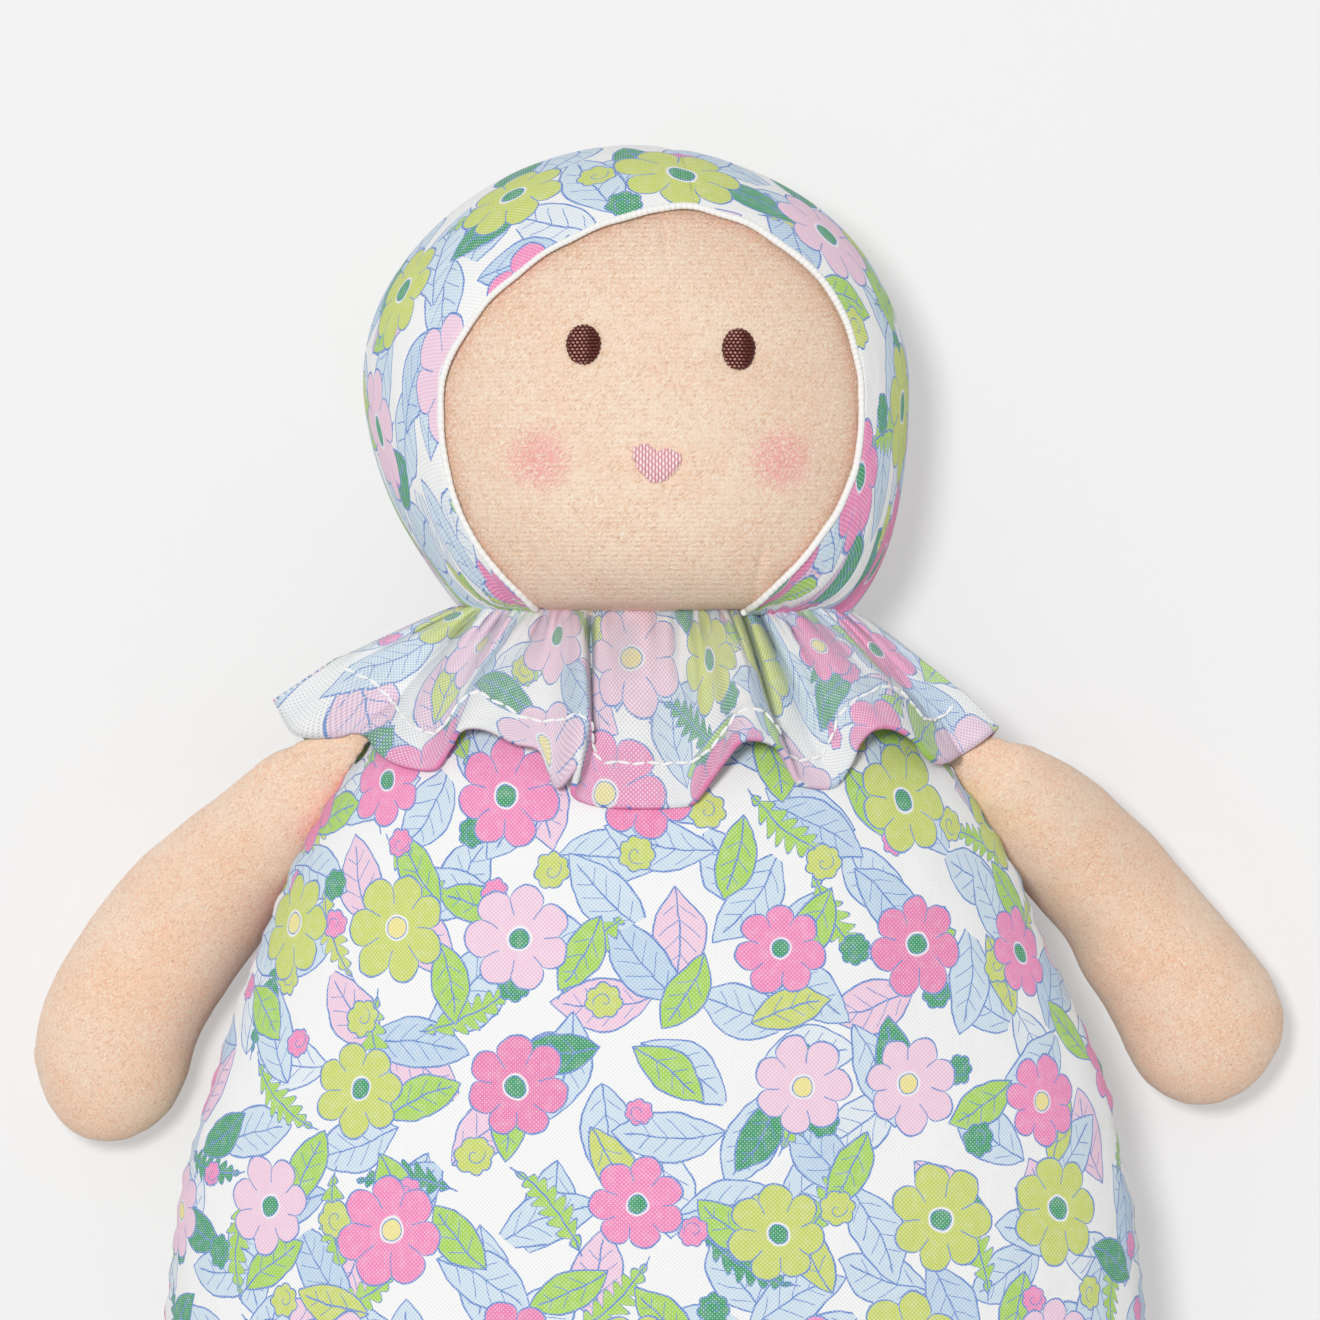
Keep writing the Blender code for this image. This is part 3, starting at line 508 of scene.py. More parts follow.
def velour(name, base, light, hollow_shade, face):
    """Brushed knit: short curled pile in slanting strokes, over faint knit rows on the face, with painted
    highlights on the pile's crests and painted shade in its hollows; on the face also painted shade towards
    the opening's edge and at the chin.
    """
    made, tree, shader = new_material(name, 0.95, 0.35)
    where = tree.nodes.new("ShaderNodeTexCoord").outputs["Object"]
    x, y, z = split(tree, where)
    fine = 0.00028 if face else 0.00022
    strokes = grain(tree, joined(tree, (x + y) * 0.35, x - y, z), fine, detail=2.0, distortion=0.8)
    curls = grain(tree, joined(tree, x - y, (x + y) * 0.45, z), fine * 1.2, detail=2.0, distortion=1.2)
    tufts = grain(tree, joined(tree, x + 0.2, y, z), 0.0010, detail=2.0, distortion=0.8)
    patches = grain(tree, where, 0.009, detail=2.0)
    ground = tint(tree, patches.rise(0.35, 0.65) * 0.35, base, light)
    pile, shaded_hollows = strokes.most(curls), strokes.least(curls) + tufts * 0.3
    height = pile * 0.00026 + tufts * (0.00022 if face else 0.00012)
    if face:
        for middle_x, middle_y, radius in CHEEKS:
            reach, _ = round_middle(x - (NECK.x + middle_x), y - (NECK.y + middle_y))
            ragged = reach + (tufts - 0.5) * 0.0020
            ground = tint(tree, ragged.rise(radius * 1.25, radius * 0.35) * 0.80, ground, BLUSH)
        # Painted shade: pinker towards the opening's edge, most at the piping, and at the chin where it
        # tucks under the collar
        near = cloth_place(tree)[2]
        edge = near.rise(0.30, 1.0) * 0.20 + near.rise(0.90, 1.0) * 0.34
        chin_shade = (y - NECK.y).rise(0.0030, 0.0) * 0.55
        ground = tint(tree, edge.most(chin_shade), ground, TUCK_SHADE)
        rows = (y * (2 * math.pi / 0.0007)).sine()
        pile, shaded_hollows, height = pile + rows * 0.012, shaded_hollows + rows * 0.018, height + rows * 0.00003
    # Painted highlight on the pile's crests
    ground = tint(tree, pile.rise(0.54, 0.65) * 0.92, ground, light)
    # Painted shade in the pile's hollows
    ground = tint(tree, shaded_hollows.rise(0.58, 0.44) * (0.74 if face else 0.58), ground, hollow_shade)
    put(tree, ground, shader.inputs["Base Color"])
    bumped(tree, shader, height, 0.85)
    return made


def thread_material(name, base, roughness, light, relief=0.00006):
    made, tree, shader = new_material(name, roughness, 0.15)
    strands = grain(tree, tree.nodes.new("ShaderNodeTexCoord").outputs["Object"], 0.00018,
                    detail=2.0, distortion=0.5)
    put(tree, tint(tree, strands.rise(0.45, 0.75) * 0.5, base, light), shader.inputs["Base Color"])
    bumped(tree, shader, strands * relief)
    return made


def stitched_thread(name, colours, start, way, row_size, twist, middles, reach, roughness):
    """Rows of twisted thread: painted highlights along each row by turns, painted shade between the rows.

    The colours are the thread's, its painted highlights' and its painted shade's. The rows are counted from
    start, across the way 0 or 1, and the painted highlights fall within reach of the middles, most near
    them.
    """
    base, light, hollow_shade = colours
    made, tree, shader = new_material(name, roughness, 0.0)
    shader.inputs["Specular IOR Level"].default_value = 0.4
    where = tree.nodes.new("ShaderNodeTexCoord").outputs["Object"]
    strands = grain(tree, where, 0.00020, detail=2.0, distortion=0.5)
    places = split(tree, where)
    across = (places[way] - start[way]) / row_size + 0.5
    row = across.whole()
    off_row = (across - row - 0.5).size()
    turns = (places[1 - way] * (2 * math.pi / twist) + row * 2.9).sine()
    shares = [(places[0] - (start[0] + middle)).size().rise(reach, reach * 0.25)
              for middle in middles]
    glint_area = shares[0] if len(shares) == 1 else shares[0].most(shares[1])
    # Painted highlights on the thread's turns; painted shade between the rows and in the turns
    painted_glints = turns.rise(-0.5, 0.7) * off_row.rise(0.44, 0.16) * strands.rise(0.34, 0.56) * glint_area
    shaded_hollows = (turns.rise(-0.1, -0.9) * 0.6).most(off_row.rise(0.26, 0.46)) * strands.rise(0.75, 0.45)
    ground = tint(tree, shaded_hollows * 0.75, base, hollow_shade)
    put(tree, tint(tree, painted_glints, ground, light), shader.inputs["Base Color"])
    bumped(tree, shader, strands * 0.00005)
    return made


BLUSH = colour("FAA3A6")
# Pinkish-brown painted shade at the face's edge and chin
TUCK_SHADE = colour("E3A98C")
CHEEKS = ((-0.01755, 0.0222, 0.0052), (0.01845, 0.0222, 0.0052))
EYE_ROW = 0.00050
EYE_TWIST = 0.00066
HEART_ROW = 0.00048
HEART_TWIST = 0.00100
EYE_MIDDLES = (-0.01089, 0.01210)
# Velour colours: its own; a lighter tone for random patches and the painted highlight on the pile; the
# painted shade in the pile's hollows
FACE_VELOUR = velour("face_velour", colour("FBD9BC"), colour("FFEFDC"), colour("DFB08A"), True)
LIMB_VELOUR = velour("limb_velour", colour("FFD1AF"), colour("FFEFDA"), colour("DBA07B"), False)
PIPING_COTTON = thread_material("piping_cotton", colour("F8F7F4"), 0.85, WHITE)
STITCH_COTTON = thread_material("topstitch_thread", WHITE, 0.70, WHITE, relief=0.00003)
# Eye thread: its colour, painted highlight and painted shade, with the highlights left of each eye's
# middle, towards the lamp
BROWN_THREAD = stitched_thread("brown_thread", (colour("5E221C"), colour("D69A8C"), colour("2C0907")),
                               NECK, 1, EYE_ROW, EYE_TWIST, [x - 0.0008 for x in EYE_MIDDLES], 0.0021, 0.42)
# Heart thread: its colour, painted highlight and painted shade, with highlights all over the heart
PINK_THREAD = stitched_thread("pink_thread", (colour("F6C4CB"), colour("FFF6F4"), colour("D99AA0")),
                              NECK, 0, HEART_ROW, HEART_TWIST, [0.0], 0.0090, 0.45)
BODY_COTTON = printed_cotton("body_cotton", (0.0, 0.0))
HOOD_COTTON = printed_cotton("hood_cotton", (0.171, 0.093))
COLLAR_COTTON = printed_cotton("collar_cotton", (0.062, 0.219), True)


# Making pieces


def placed(name, data):
    made = bpy.data.objects.new(name, data)
    bpy.context.scene.collection.objects.link(made)
    return made


def mesh_from(name, bm):
    mesh = bpy.data.meshes.new(name)
    bm.to_mesh(mesh)
    bm.free()
    return mesh


def add_piece(name, bm, material, body, nodes, cloth=None):
    """A finished mesh piece: placed from the neck seam, riding on a body, standing for nodes."""
    bmesh.ops.translate(bm, verts=bm.verts, vec=NECK_PLACE)
    mesh = mesh_from(name, bm)
    mesh.materials.append(material)
    mesh.shade_smooth()
    made = placed(name, mesh)
    if cloth:
        lay_out(made, cloth)
    finish_piece(made, body, nodes)
    return made


def lay_out(piece, cloth):
    """Stores each point's place on the flat cloth."""
    mesh = piece.data
    stored = mesh.attributes.new("cloth", "FLOAT_VECTOR", "POINT")
    for k, vertex in enumerate(mesh.vertices):
        stored.data[k].vector = cloth(vertex.co - NECK_PLACE)


def finish_piece(piece, body, nodes):
    if body:
        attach(piece, body)
    if nodes:
        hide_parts(*nodes)


def bent_at_neck(piece, *nodes):
    """Sewn to the body at the neck seam: its placement is baked into its mesh, and the frame's pieces it
    stands for are hidden.
    """
    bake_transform(piece)
    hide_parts(*nodes)


def with_modifiers(piece, *settings):
    for kind, values in settings:
        made = piece.modifiers.new(kind.lower(), kind)
        for key, value in values.items():
            setattr(made, key, value)


def subdivided(levels):
    return "SUBSURF", {"levels": levels, "render_levels": levels}


# Body and head shapes


def body_halves(y):
    share = max(0.0, min(1.0, -y / BODY_LENGTH))
    for low, high in zip(BODY_SHARES, BODY_SHARES[1:]):
        if share <= high[0]:
            part = (share - low[0]) / (high[0] - low[0])
            return BODY_HALF_WIDTH * mix(low[1], high[1], part), HALF_DEPTH * mix(low[2], high[2], part)
    return BODY_HALF_WIDTH * BODY_SHARES[-1][1], HALF_DEPTH * BODY_SHARES[-1][2]


def body_middle(y):
    share = -y / BODY_LENGTH
    return MID_HEIGHT - HIP_SINK * ease((share - HIP_SINK_FROM) / (1 - HIP_SINK_FROM))


def body_rise(x, y):
    wide, deep = body_halves(y)
    return deep * math.sqrt(max(0.0, 1 - (x / wide) ** 2))


def chin_depth(y):
    fall = (NECK_TO_WIDEST - y) / NECK_TO_WIDEST
    if fall >= 1:
        return NECK_HALF_DEPTH
    return mix(NECK_HALF_DEPTH, HALF_DEPTH, (1 - fall**CHIN_ROUND_POWER) ** 0.5)


def head_middle(y):
    return -HEAD_LEAN * ease(y / NECK_TO_WIDEST)


def head_section(rise, inset):
    reach = math.sqrt(max(0.0, 1 - rise * rise))
    wide = (HEAD_HALF_WIDTH - inset) * reach
    if rise >= 0:
        return NECK_TO_WIDEST + rise * (WIDEST_TO_CROWN - inset), wide, (HALF_DEPTH - inset) * reach
    y = NECK_TO_WIDEST + rise * WIDEST_TO_CHIN_ROUND
    return y, wide, chin_depth(y) - inset


def head_point(tilt, spoke, inset):
    """A point of the head: tilt is the angle from the middle of the face, spoke the way round it."""
    x, rise = math.sin(tilt) * math.cos(spoke), math.sin(tilt) * math.sin(spoke)
    z = math.cos(tilt)
    x, z = (x * math.cos(HEAD_TURN) + z * math.sin(HEAD_TURN),
            z * math.cos(HEAD_TURN) - x * math.sin(HEAD_TURN))
    reach = max(1e-9, math.hypot(x, z))
    y, wide, deep = head_section(rise, inset)
    return Vector((head_middle(y) + wide * x / reach, y, MID_HEIGHT + deep * z / reach))


def opening_tilt(spoke):
    """How far the opening's edge is from the middle of the face, an angle."""
    at = math.degrees(spoke) % 360 / 10
    k = int(at)
    return math.radians(rounded(*(OPENING_TILTS[(k + j) % 36] for j in (-1, 0, 1, 2)), at - k))


def face_height(x, y, inset):
    below = y < NECK_TO_WIDEST
    span = WIDEST_TO_CHIN_ROUND if below else WIDEST_TO_CROWN - inset
    _, wide, deep = head_section((y - NECK_TO_WIDEST) / span, inset)
    return MID_HEIGHT + deep * math.sqrt(max(0.0, 1 - ((x - head_middle(y)) / wide) ** 2))


# Creases of the face: both ends, half width and depth, in millimetres
FACE_CREASES = (
    (0.5, 60.0, 1.5, 51.0, 0.6, 0.35), (-18.7, 10.6, -17.2, 0.0, 0.55, 0.75),
    (-20.3, 9.6, -18.8, 0.0, 1.3, -0.45), (16.0, 10.4, 14.0, 0.0, 0.55, 0.80),
    (17.6, 9.4, 15.6, 0.0, 1.3, -0.45), (-7.0, 4.5, -6.0, -0.5, 1.2, 0.5),
    (4.2, 4.0, 4.0, -0.5, 1.2, 0.5),
)


def crease_depth(x, y):
    total = 0.0
    for x0, y0, x1, y1, half, depth in FACE_CREASES:
        start, run = Vector((x0, y0)), Vector((x1 - x0, y1 - y0))
        offset = Vector((x / MM, y / MM)) - start
        along = max(0.0, min(1.0, offset.dot(run) / run.length_squared))
        fade = ease(along * 3 + 0.05)
        total += depth * fade * bell((offset - run * along).length, half)
    return total * MM


def ball(start, finish, keep_front, u_segments, v_segments):
    """One half of a ball whose pole points up, remapped so its rings run between two tilts."""
    bm = bmesh.new()
    bmesh.ops.create_uvsphere(bm, u_segments=u_segments, v_segments=v_segments, radius=1.0)
    if keep_front:
        bm.verts.layers.float_vector.new("cloth")
    way = 1 if keep_front else -1
    out = [v for v in bm.verts if v.co.z * way < -1e-5]
    bmesh.ops.delete(bm, geom=out, context="VERTS")
    places = []
    for vertex in bm.verts:
        polar = math.acos(max(-1.0, min(1.0, vertex.co.z)))
        spoke = math.atan2(vertex.co.y, vertex.co.x)
        share = polar / (math.pi / 2) - (0 if keep_front else 1)
        places.append((vertex, mix(start(spoke), finish(spoke), share), spoke))
    return bm, places


def cut_at_neck(bm, y=-0.0008):
    geometry = [*bm.verts, *bm.edges, *bm.faces]
    bmesh.ops.bisect_plane(bm, geom=geometry, plane_co=(0, y, 0), plane_no=(0, 1, 0), clear_inner=True)


def make_face():
    tuck = math.radians(3)
    bm, places = ball(lambda s: 0.0, lambda s: opening_tilt(s) + tuck, True, 400, 190)
    flat = bm.verts.layers.float_vector["cloth"]
    for vertex, tilt, spoke in places:
        point = head_point(tilt, spoke, FACE_SETBACK)
        # The third number, the share of the way to the opening's edge, sets the face's painted shade there
        vertex[flat] = Vector((point.x, point.y, tilt / opening_tilt(spoke)))
        sunk = crease_depth(point.x, point.y)
        soft = noise.noise(point * 60) * 0.0004 + noise.noise(point * 170) * 0.00016
        point.z += soft - sunk - 0.0012 * ease((0.0012 - point.y) / 0.0018)
        vertex.co = point
    cut_at_neck(bm)
    bmesh.ops.recalc_face_normals(bm, faces=bm.faces)
    face = add_piece("face_cloth", bm, FACE_VELOUR, None, [])
    with_modifiers(face, ("SOLIDIFY", {"thickness": SEWN_CLOTH, "offset": -1.0}))
    bent_at_neck(face, "face_panel", "head_stuffing")


def hood_cloth(point):
    """Place on the hood's flat cloth, measured down from the crown, where the print runs across."""
    way = Vector(((point.x + HEAD_LEAN) / HEAD_HALF_WIDTH, (point.y - NECK_TO_WIDEST) / WIDEST_TO_CROWN,
                  (point.z - MID_HEIGHT) / HALF_DEPTH)).normalized()
    down = math.acos(max(-1.0, min(1.0, way.y)))
    round_crown = math.atan2(way.x, way.z)
    reach = 0.037 * (down - 0.06 * down * down)
    return Vector((reach * math.sin(round_crown), -reach * math.cos(round_crown), FLAT))


def make_hood(side, name, node):
    edge = (PIPING_RADIUS * 0.6) / HEAD_HALF_WIDTH
    seam = Vector((-HEAD_LEAN, 0, 0))
    seam_way = Vector((math.cos(SEAM_TURN), 0, -math.sin(SEAM_TURN)))
    bm, places = ball(lambda s: opening_tilt(s) + edge, lambda s: math.pi, False, 200, 110)
    for vertex, tilt, spoke in places:
        point = head_point(tilt, spoke, 0.0)
        middle = point - Vector((head_middle(point.y), NECK_TO_WIDEST, MID_HEIGHT))
        outward = middle.normalized()
        off_seam = abs((point - seam).dot(seam_way))
        behind = ease(0.5 - middle.z / 0.02)
        puckers = math.sin(point.y * 1400 + point.z * 900) * 0.00012 * behind * bell(off_seam, 0.004)
        sunk = mix(0.00012, 0.0006, behind) * bell(off_seam, 0.0009)
        near_neck = bell(point.y, 0.007)
        folds = math.sin(math.atan2(middle.z, middle.x) * 26) * 0.0005 * near_neck
        soft = noise.noise(point * 55) * 0.0005
        point += outward * (soft + puckers + folds - sunk)
        point.z = max(point.z, 0.0001)
        vertex.co = point
    cut_at_neck(bm)
    geometry = [*bm.verts, *bm.edges, *bm.faces]
    bmesh.ops.bisect_plane(bm, geom=geometry, plane_co=seam, plane_no=seam_way * side, clear_inner=True)
    bmesh.ops.recalc_face_normals(bm, faces=bm.faces)
    hood = add_piece(name, bm, HOOD_COTTON, None, [], hood_cloth)
    with_modifiers(hood, subdivided(1), ("SOLIDIFY", {"thickness": SEWN_CLOTH, "offset": -1.0}))
    bent_at_neck(hood, node)


def add_curve(name, lines, thickness, material, body, nodes, cyclic=False):
    """Threads or piping as a mesh: each line is a list of points with a share of the thickness."""
    curve = bpy.data.curves.new(name, "CURVE")
    curve.dimensions = "3D"
    curve.bevel_depth = thickness
    curve.bevel_resolution = 3
    curve.use_fill_caps = True
    for line in lines:
        spline = curve.splines.new("POLY")
        spline.points.add(len(line) - 1)
        spline.use_cyclic_u = cyclic
        for knot, (point, share) in zip(spline.points, line):
            knot.co = (*(point + NECK_PLACE), 1.0)
            knot.radius = share
    curve.materials.append(material)
    drawn_line = bpy.data.objects.new(name, curve)
    mesh = bpy.data.meshes.new_from_object(drawn_line)
    bpy.data.objects.remove(drawn_line)
    bpy.data.curves.remove(curve)
    made = placed(name, mesh)
    finish_piece(made, body, nodes)
    return made


def make_piping():
    line = []
    count = 1000
    for k in range(count + 1):
        spoke = -math.pi / 2 + 2 * math.pi * k / count
        point = head_point(opening_tilt(spoke), spoke, 0.0)
        if point.y < -0.0006:
            continue
        rough = noise.noise(point * 420) + 0.55 * math.sin(k * 2 * math.pi / 4.6)
        outward = Vector((math.cos(spoke), math.sin(spoke), 0))
        point += outward * 0.00030 * noise.noise(point * 150) + Vector((0, 0, 0.0001 * rough))
        line.append((point, 1.0 + 0.10 * rough + 0.25 * noise.noise(point * 45)))
    piping = add_curve("hood_edge_piping", [line], PIPING_RADIUS, PIPING_COTTON, None, [])
    bent_at_neck(piping, "hood_piping")


def make_eye(name, node, middle_x, middle_y, wide, high, slant):
    """Rows of twisted thread across an oval, inside a rope-like rim."""
    def place(x, y, lift):
        return Vector((x, y, face_height(x, y, FACE_SETBACK) + 0.0003 + lift))

    lines = []
    lowest, highest = (math.floor((middle_y + way * high * 0.93) / EYE_ROW) for way in (-1, 1))
    for row in range(lowest + 1, highest + 1):
        y = row * EYE_ROW
        up = (y - middle_y) / high
        half = wide * math.sqrt(1 - up * up) * 0.94
        line = []
        count = max(9, round(2 * half / 0.00009))
        for k in range(count + 1):
            x = middle_x + half * mix(-1, 1, k / count)
            turn = (x + NECK.x) * 2 * math.pi / EYE_TWIST + row * 2.9
            dome = 0.0009 * max(0.0, 1 - ((x - middle_x) / wide) ** 2 - up**2) ** 0.5
            slope = slant * (x - middle_x) + noise.noise(Vector((row * 3.1, x * 900, 0))) * 0.00007
            line.append((place(x, y + slope, dome), 1.0 + 0.20 * math.sin(turn)))
        lines.append(line)
    rim = []
    for k in range(241):
        angle = 2 * math.pi * k / 240
        x, y = middle_x + wide * math.cos(angle) * 0.96, middle_y + high * math.sin(angle) * 0.96
        ragged = 1 + 0.03 * noise.noise(Vector((math.cos(angle) * 2, math.sin(angle) * 2, wide * 900)))
        x, y = mix(middle_x, x, ragged), mix(middle_y, y, ragged)
        rim.append((place(x, y, 0.00022), 0.85 + 0.28 * math.sin(angle * 24)))
    lines.append(rim)
    add_curve(name, lines, EYE_THREAD, BROWN_THREAD, "head", [node])


# Heart: x, top and foot of its edge in millimetres
HEART_EDGES = (
    (-3.69, 23.83, 22.78), (-3.32, 24.06, 21.65), (-2.81, 24.17, 20.81), (-2.21, 24.43, 20.09),
    (-1.62, 24.62, 19.55), (-1.03, 24.18, 18.94), (-0.51, 23.66, 18.68), (0.01, 23.43, 18.57),
    (0.60, 23.66, 18.75), (1.19, 23.75, 19.03), (1.78, 23.68, 19.51), (2.37, 23.52, 20.17),
    (2.97, 23.34, 20.75), (3.41, 23.12, 21.48), (3.78, 22.78, 22.24),
)


def heart_edges(x):
    """Top and foot of the heart at a place across it, in metres."""
    for (x0, top0, foot0), (x1, top1, foot1) in zip(HEART_EDGES, HEART_EDGES[1:]):
        if x / MM <= x1:
            share = max(0.0, (x / MM - x0) / (x1 - x0))
            return mix(top0, top1, share) * MM, mix(foot0, foot1, share) * MM
    return HEART_EDGES[-1][1] * MM, HEART_EDGES[-1][2] * MM


def make_heart():
    """Upright threads that spread a little from the notch, with ragged ends."""
    lines = []
    low, high = HEART_EDGES[0][0] * MM, HEART_EDGES[-1][0] * MM
    for thread in range(math.ceil(low / HEART_ROW), math.floor(high / HEART_ROW) + 1):
        x = thread * HEART_ROW
        top, foot = heart_edges(x)
        top += noise.noise(Vector((thread * 1.7, 0.3, 0))) * 0.00040 - 0.00015
        foot += noise.noise(Vector((thread * 1.7, 5.3, 0))) * 0.00030 + 0.00015
        off = 2 * (x - low) / (high - low) - 1
        spread = 0.06 * off * (1 - off * off)
        count = max(6, round((top - foot) / 0.00011))
        line = []
        for k in range(count + 1):
            share = k / count
            y = mix(foot, top, share)
            lean = x - spread * (y - 0.5 * (top + foot))
            turn = (y + NECK.y) * 2 * math.pi / HEART_TWIST + thread * 2.9
            dome = 0.00055 * math.sin(math.pi * share) ** 0.5 * (1 - 0.5 * off**2)
            height = face_height(lean, y, FACE_SETBACK) + 0.0002 + dome
            line.append((Vector((lean, y, height)), 1.0 + 0.14 * math.sin(turn)))
        lines.append(line)
    add_curve("heart_stitching", lines, HEART_THREAD, PINK_THREAD, "head", ["heart_mouth"])


# Collar


def smooth_places(table, share):
    """The row of a table at a share along it, rounded through its neighbours."""
    count = len(table) - 1
    at = share * count
    k = min(count - 1, int(at))
    rows = [table[max(0, min(count, k + j))] for j in (-1, 0, 1, 2)]
    return [rounded(*values, at - k) for values in zip(*rows)]


def chest_height(x, y):
    return body_rise(x, min(0.0, y))


def pleat_depth(along, out):
    total = 1.1 * noise.noise(Vector((along * 75, out * 1.6, 4.2))) * (1 - out) ** 1.5 * ease(out / 0.08)
    total += 0.8 * noise.noise(Vector((along * 34, out * 2.4, 9.1))) * ease(out / 0.3)
    ridges = math.sin(along * 165 + 3 * noise.noise(Vector((along * 18, 1.3, 6.6))))
    total += 0.50 * ridges * ease(out / 0.04) * (1 - ease(out / 0.46))
    stitched = bell(out - TOPSTITCH_SHARE, 0.05)
    total += stitched * (0.20 + 0.35 * noise.noise(Vector((along * 120, 3.3, 1.7))))
    for place, half, depth, reach in PLEATS:
        fade = ease(out / 0.10) * (1 - ease((out - 0.12) / reach))
        total += depth * fade * bell(along - place + out * 0.006, half)
    return total * MM


def collar_front(along, out):
    """Middle of the collar's cloth over the chest: along runs left to right, out to the hem."""
    gather, stitch_x, stitch_y, stitch_lift, hem_x, hem_y, hem_lift = [
        value * MM for value in smooth_places(COLLAR_PLACES, along)]
    edge = bell(along, 0.05) + bell(1 - along, 0.05)
    top = Vector((gather, 0.0004, mix(0.0062, 0.0008, edge)))
    seam = Vector((stitch_x, stitch_y, chest_height(stitch_x, stitch_y) + stitch_lift))
    hem = Vector((hem_x, hem_y, chest_height(hem_x, hem_y) + hem_lift))
    if out >= TOPSTITCH_SHARE:
        point = seam.lerp(hem, (out - TOPSTITCH_SHARE) / (1 - TOPSTITCH_SHARE))
    else:
        share = out / TOPSTITCH_SHARE
        point = Vector((mix(top.x, seam.x, share), mix(top.y, seam.y, share**1.08), 0))
        fall = mix(top.z, seam.z, share**0.72)
        cover = chest_height(point.x, point.y) + mix(0.0012, stitch_lift, share)
        point.z = max(fall, cover * ease(share * 4) + top.z * (1 - ease(share * 4)))
    point.z += MID_HEIGHT - pleat_depth(along, out)
    return point


def collar_back(share, out):
    """The part behind the neck, from the right tip round to the left one."""
    angle = math.pi * (2 - share)
    side, front = math.cos(angle), math.sin(angle)
    hem_x, tip_drop = (side * 0.0510, 0.0178) if side > 0 else (side * 0.0573, 0.0138)
    hem_y = -mix(tip_drop, 0.029, abs(front))
    rise = min(max(0.0095, body_rise(hem_x, hem_y) + 0.0024), MID_HEIGHT - 0.0012)
    rise *= ease(abs(front) * 6)
    folds = math.sin(share * math.pi * 22) * 0.0006 * (1 - out) * ease(abs(front) * 4)
    point = Vector((mix(0.0295 * side, hem_x, out), hem_y * out**1.4, 0))
    point.z = MID_HEIGHT - mix(0.0035 * abs(front), rise, out**0.75) + folds
    tip = collar_front(0.0 if side < 0 else 1.0, out)
    return tip.lerp(point, ease(min(share, 1 - share) * 7))


def collar_sheet(columns, surface):
    bm = bmesh.new()
    bmesh.ops.create_grid(bm, x_segments=columns, y_segments=COLLAR_ROWS, size=0.5)
    flat = bm.verts.layers.float_vector.new("cloth")
    for vertex in bm.verts:
        along, out = vertex.co.x + 0.5, 0.5 - vertex.co.y
        vertex[flat] = Vector((along, out, 0))
        vertex.co = surface(along, out)
    return bm


def make_collar():
    front = collar_sheet(COLLAR_COLUMNS, collar_front)
    layer = front.verts.layers.float_vector["cloth"]
    length = sum((collar_front((k + 1) / 400, 1.0) - collar_front(k / 400, 1.0)).length
                 for k in range(400))
    for vertex in front.verts:
        along, out, _ = vertex[layer]
        # The third number is the fold depth, which the collar's material turns into painted shade
        vertex[layer] = Vector((along * length, -out * COLLAR_DEPTH, FLAT + pleat_depth(along, out)))
    back = collar_sheet(COLLAR_BACK_COLUMNS, collar_back)
    back_layer = back.verts.layers.float_vector["cloth"]
    for vertex in back.verts:
        along, out, _ = vertex[back_layer]
        vertex[back_layer] = Vector((length + along * COLLAR_BACK_LENGTH, -out * COLLAR_DEPTH, FLAT))
    spare = mesh_from("collar_back", back)
    front.from_mesh(spare)
    bpy.data.meshes.remove(spare)
    right_seam = [vertex for vertex in front.verts if vertex.co.x > 0]
    bmesh.ops.remove_doubles(front, verts=right_seam, dist=0.00002)
    bmesh.ops.recalc_face_normals(front, faces=front.faces)
    hem = hem_weights(front)
    collar = add_piece("collar_cloth", front, COLLAR_COTTON, "torso", ["collar_ruffle"])
    group = collar.vertex_groups.new(name="hem")
    for index, weight in enumerate(hem):
        group.add([index], weight, "REPLACE")
    with_modifiers(collar, ("SOLIDIFY", {"thickness": HEM_CLOTH, "offset": 0.0, "vertex_group": "hem",
                                         "thickness_vertex_group": 0.45}))
    return collar, length + COLLAR_BACK_LENGTH


def hem_weights(bm):
    """1 in the folded hem, past the topstitch, and 0 in the single cloth."""
    layer = bm.verts.layers.float_vector["cloth"]
    return [ease((-v[layer].y / COLLAR_DEPTH - TOPSTITCH_SHARE + 0.02) / 0.03) for v in bm.verts]


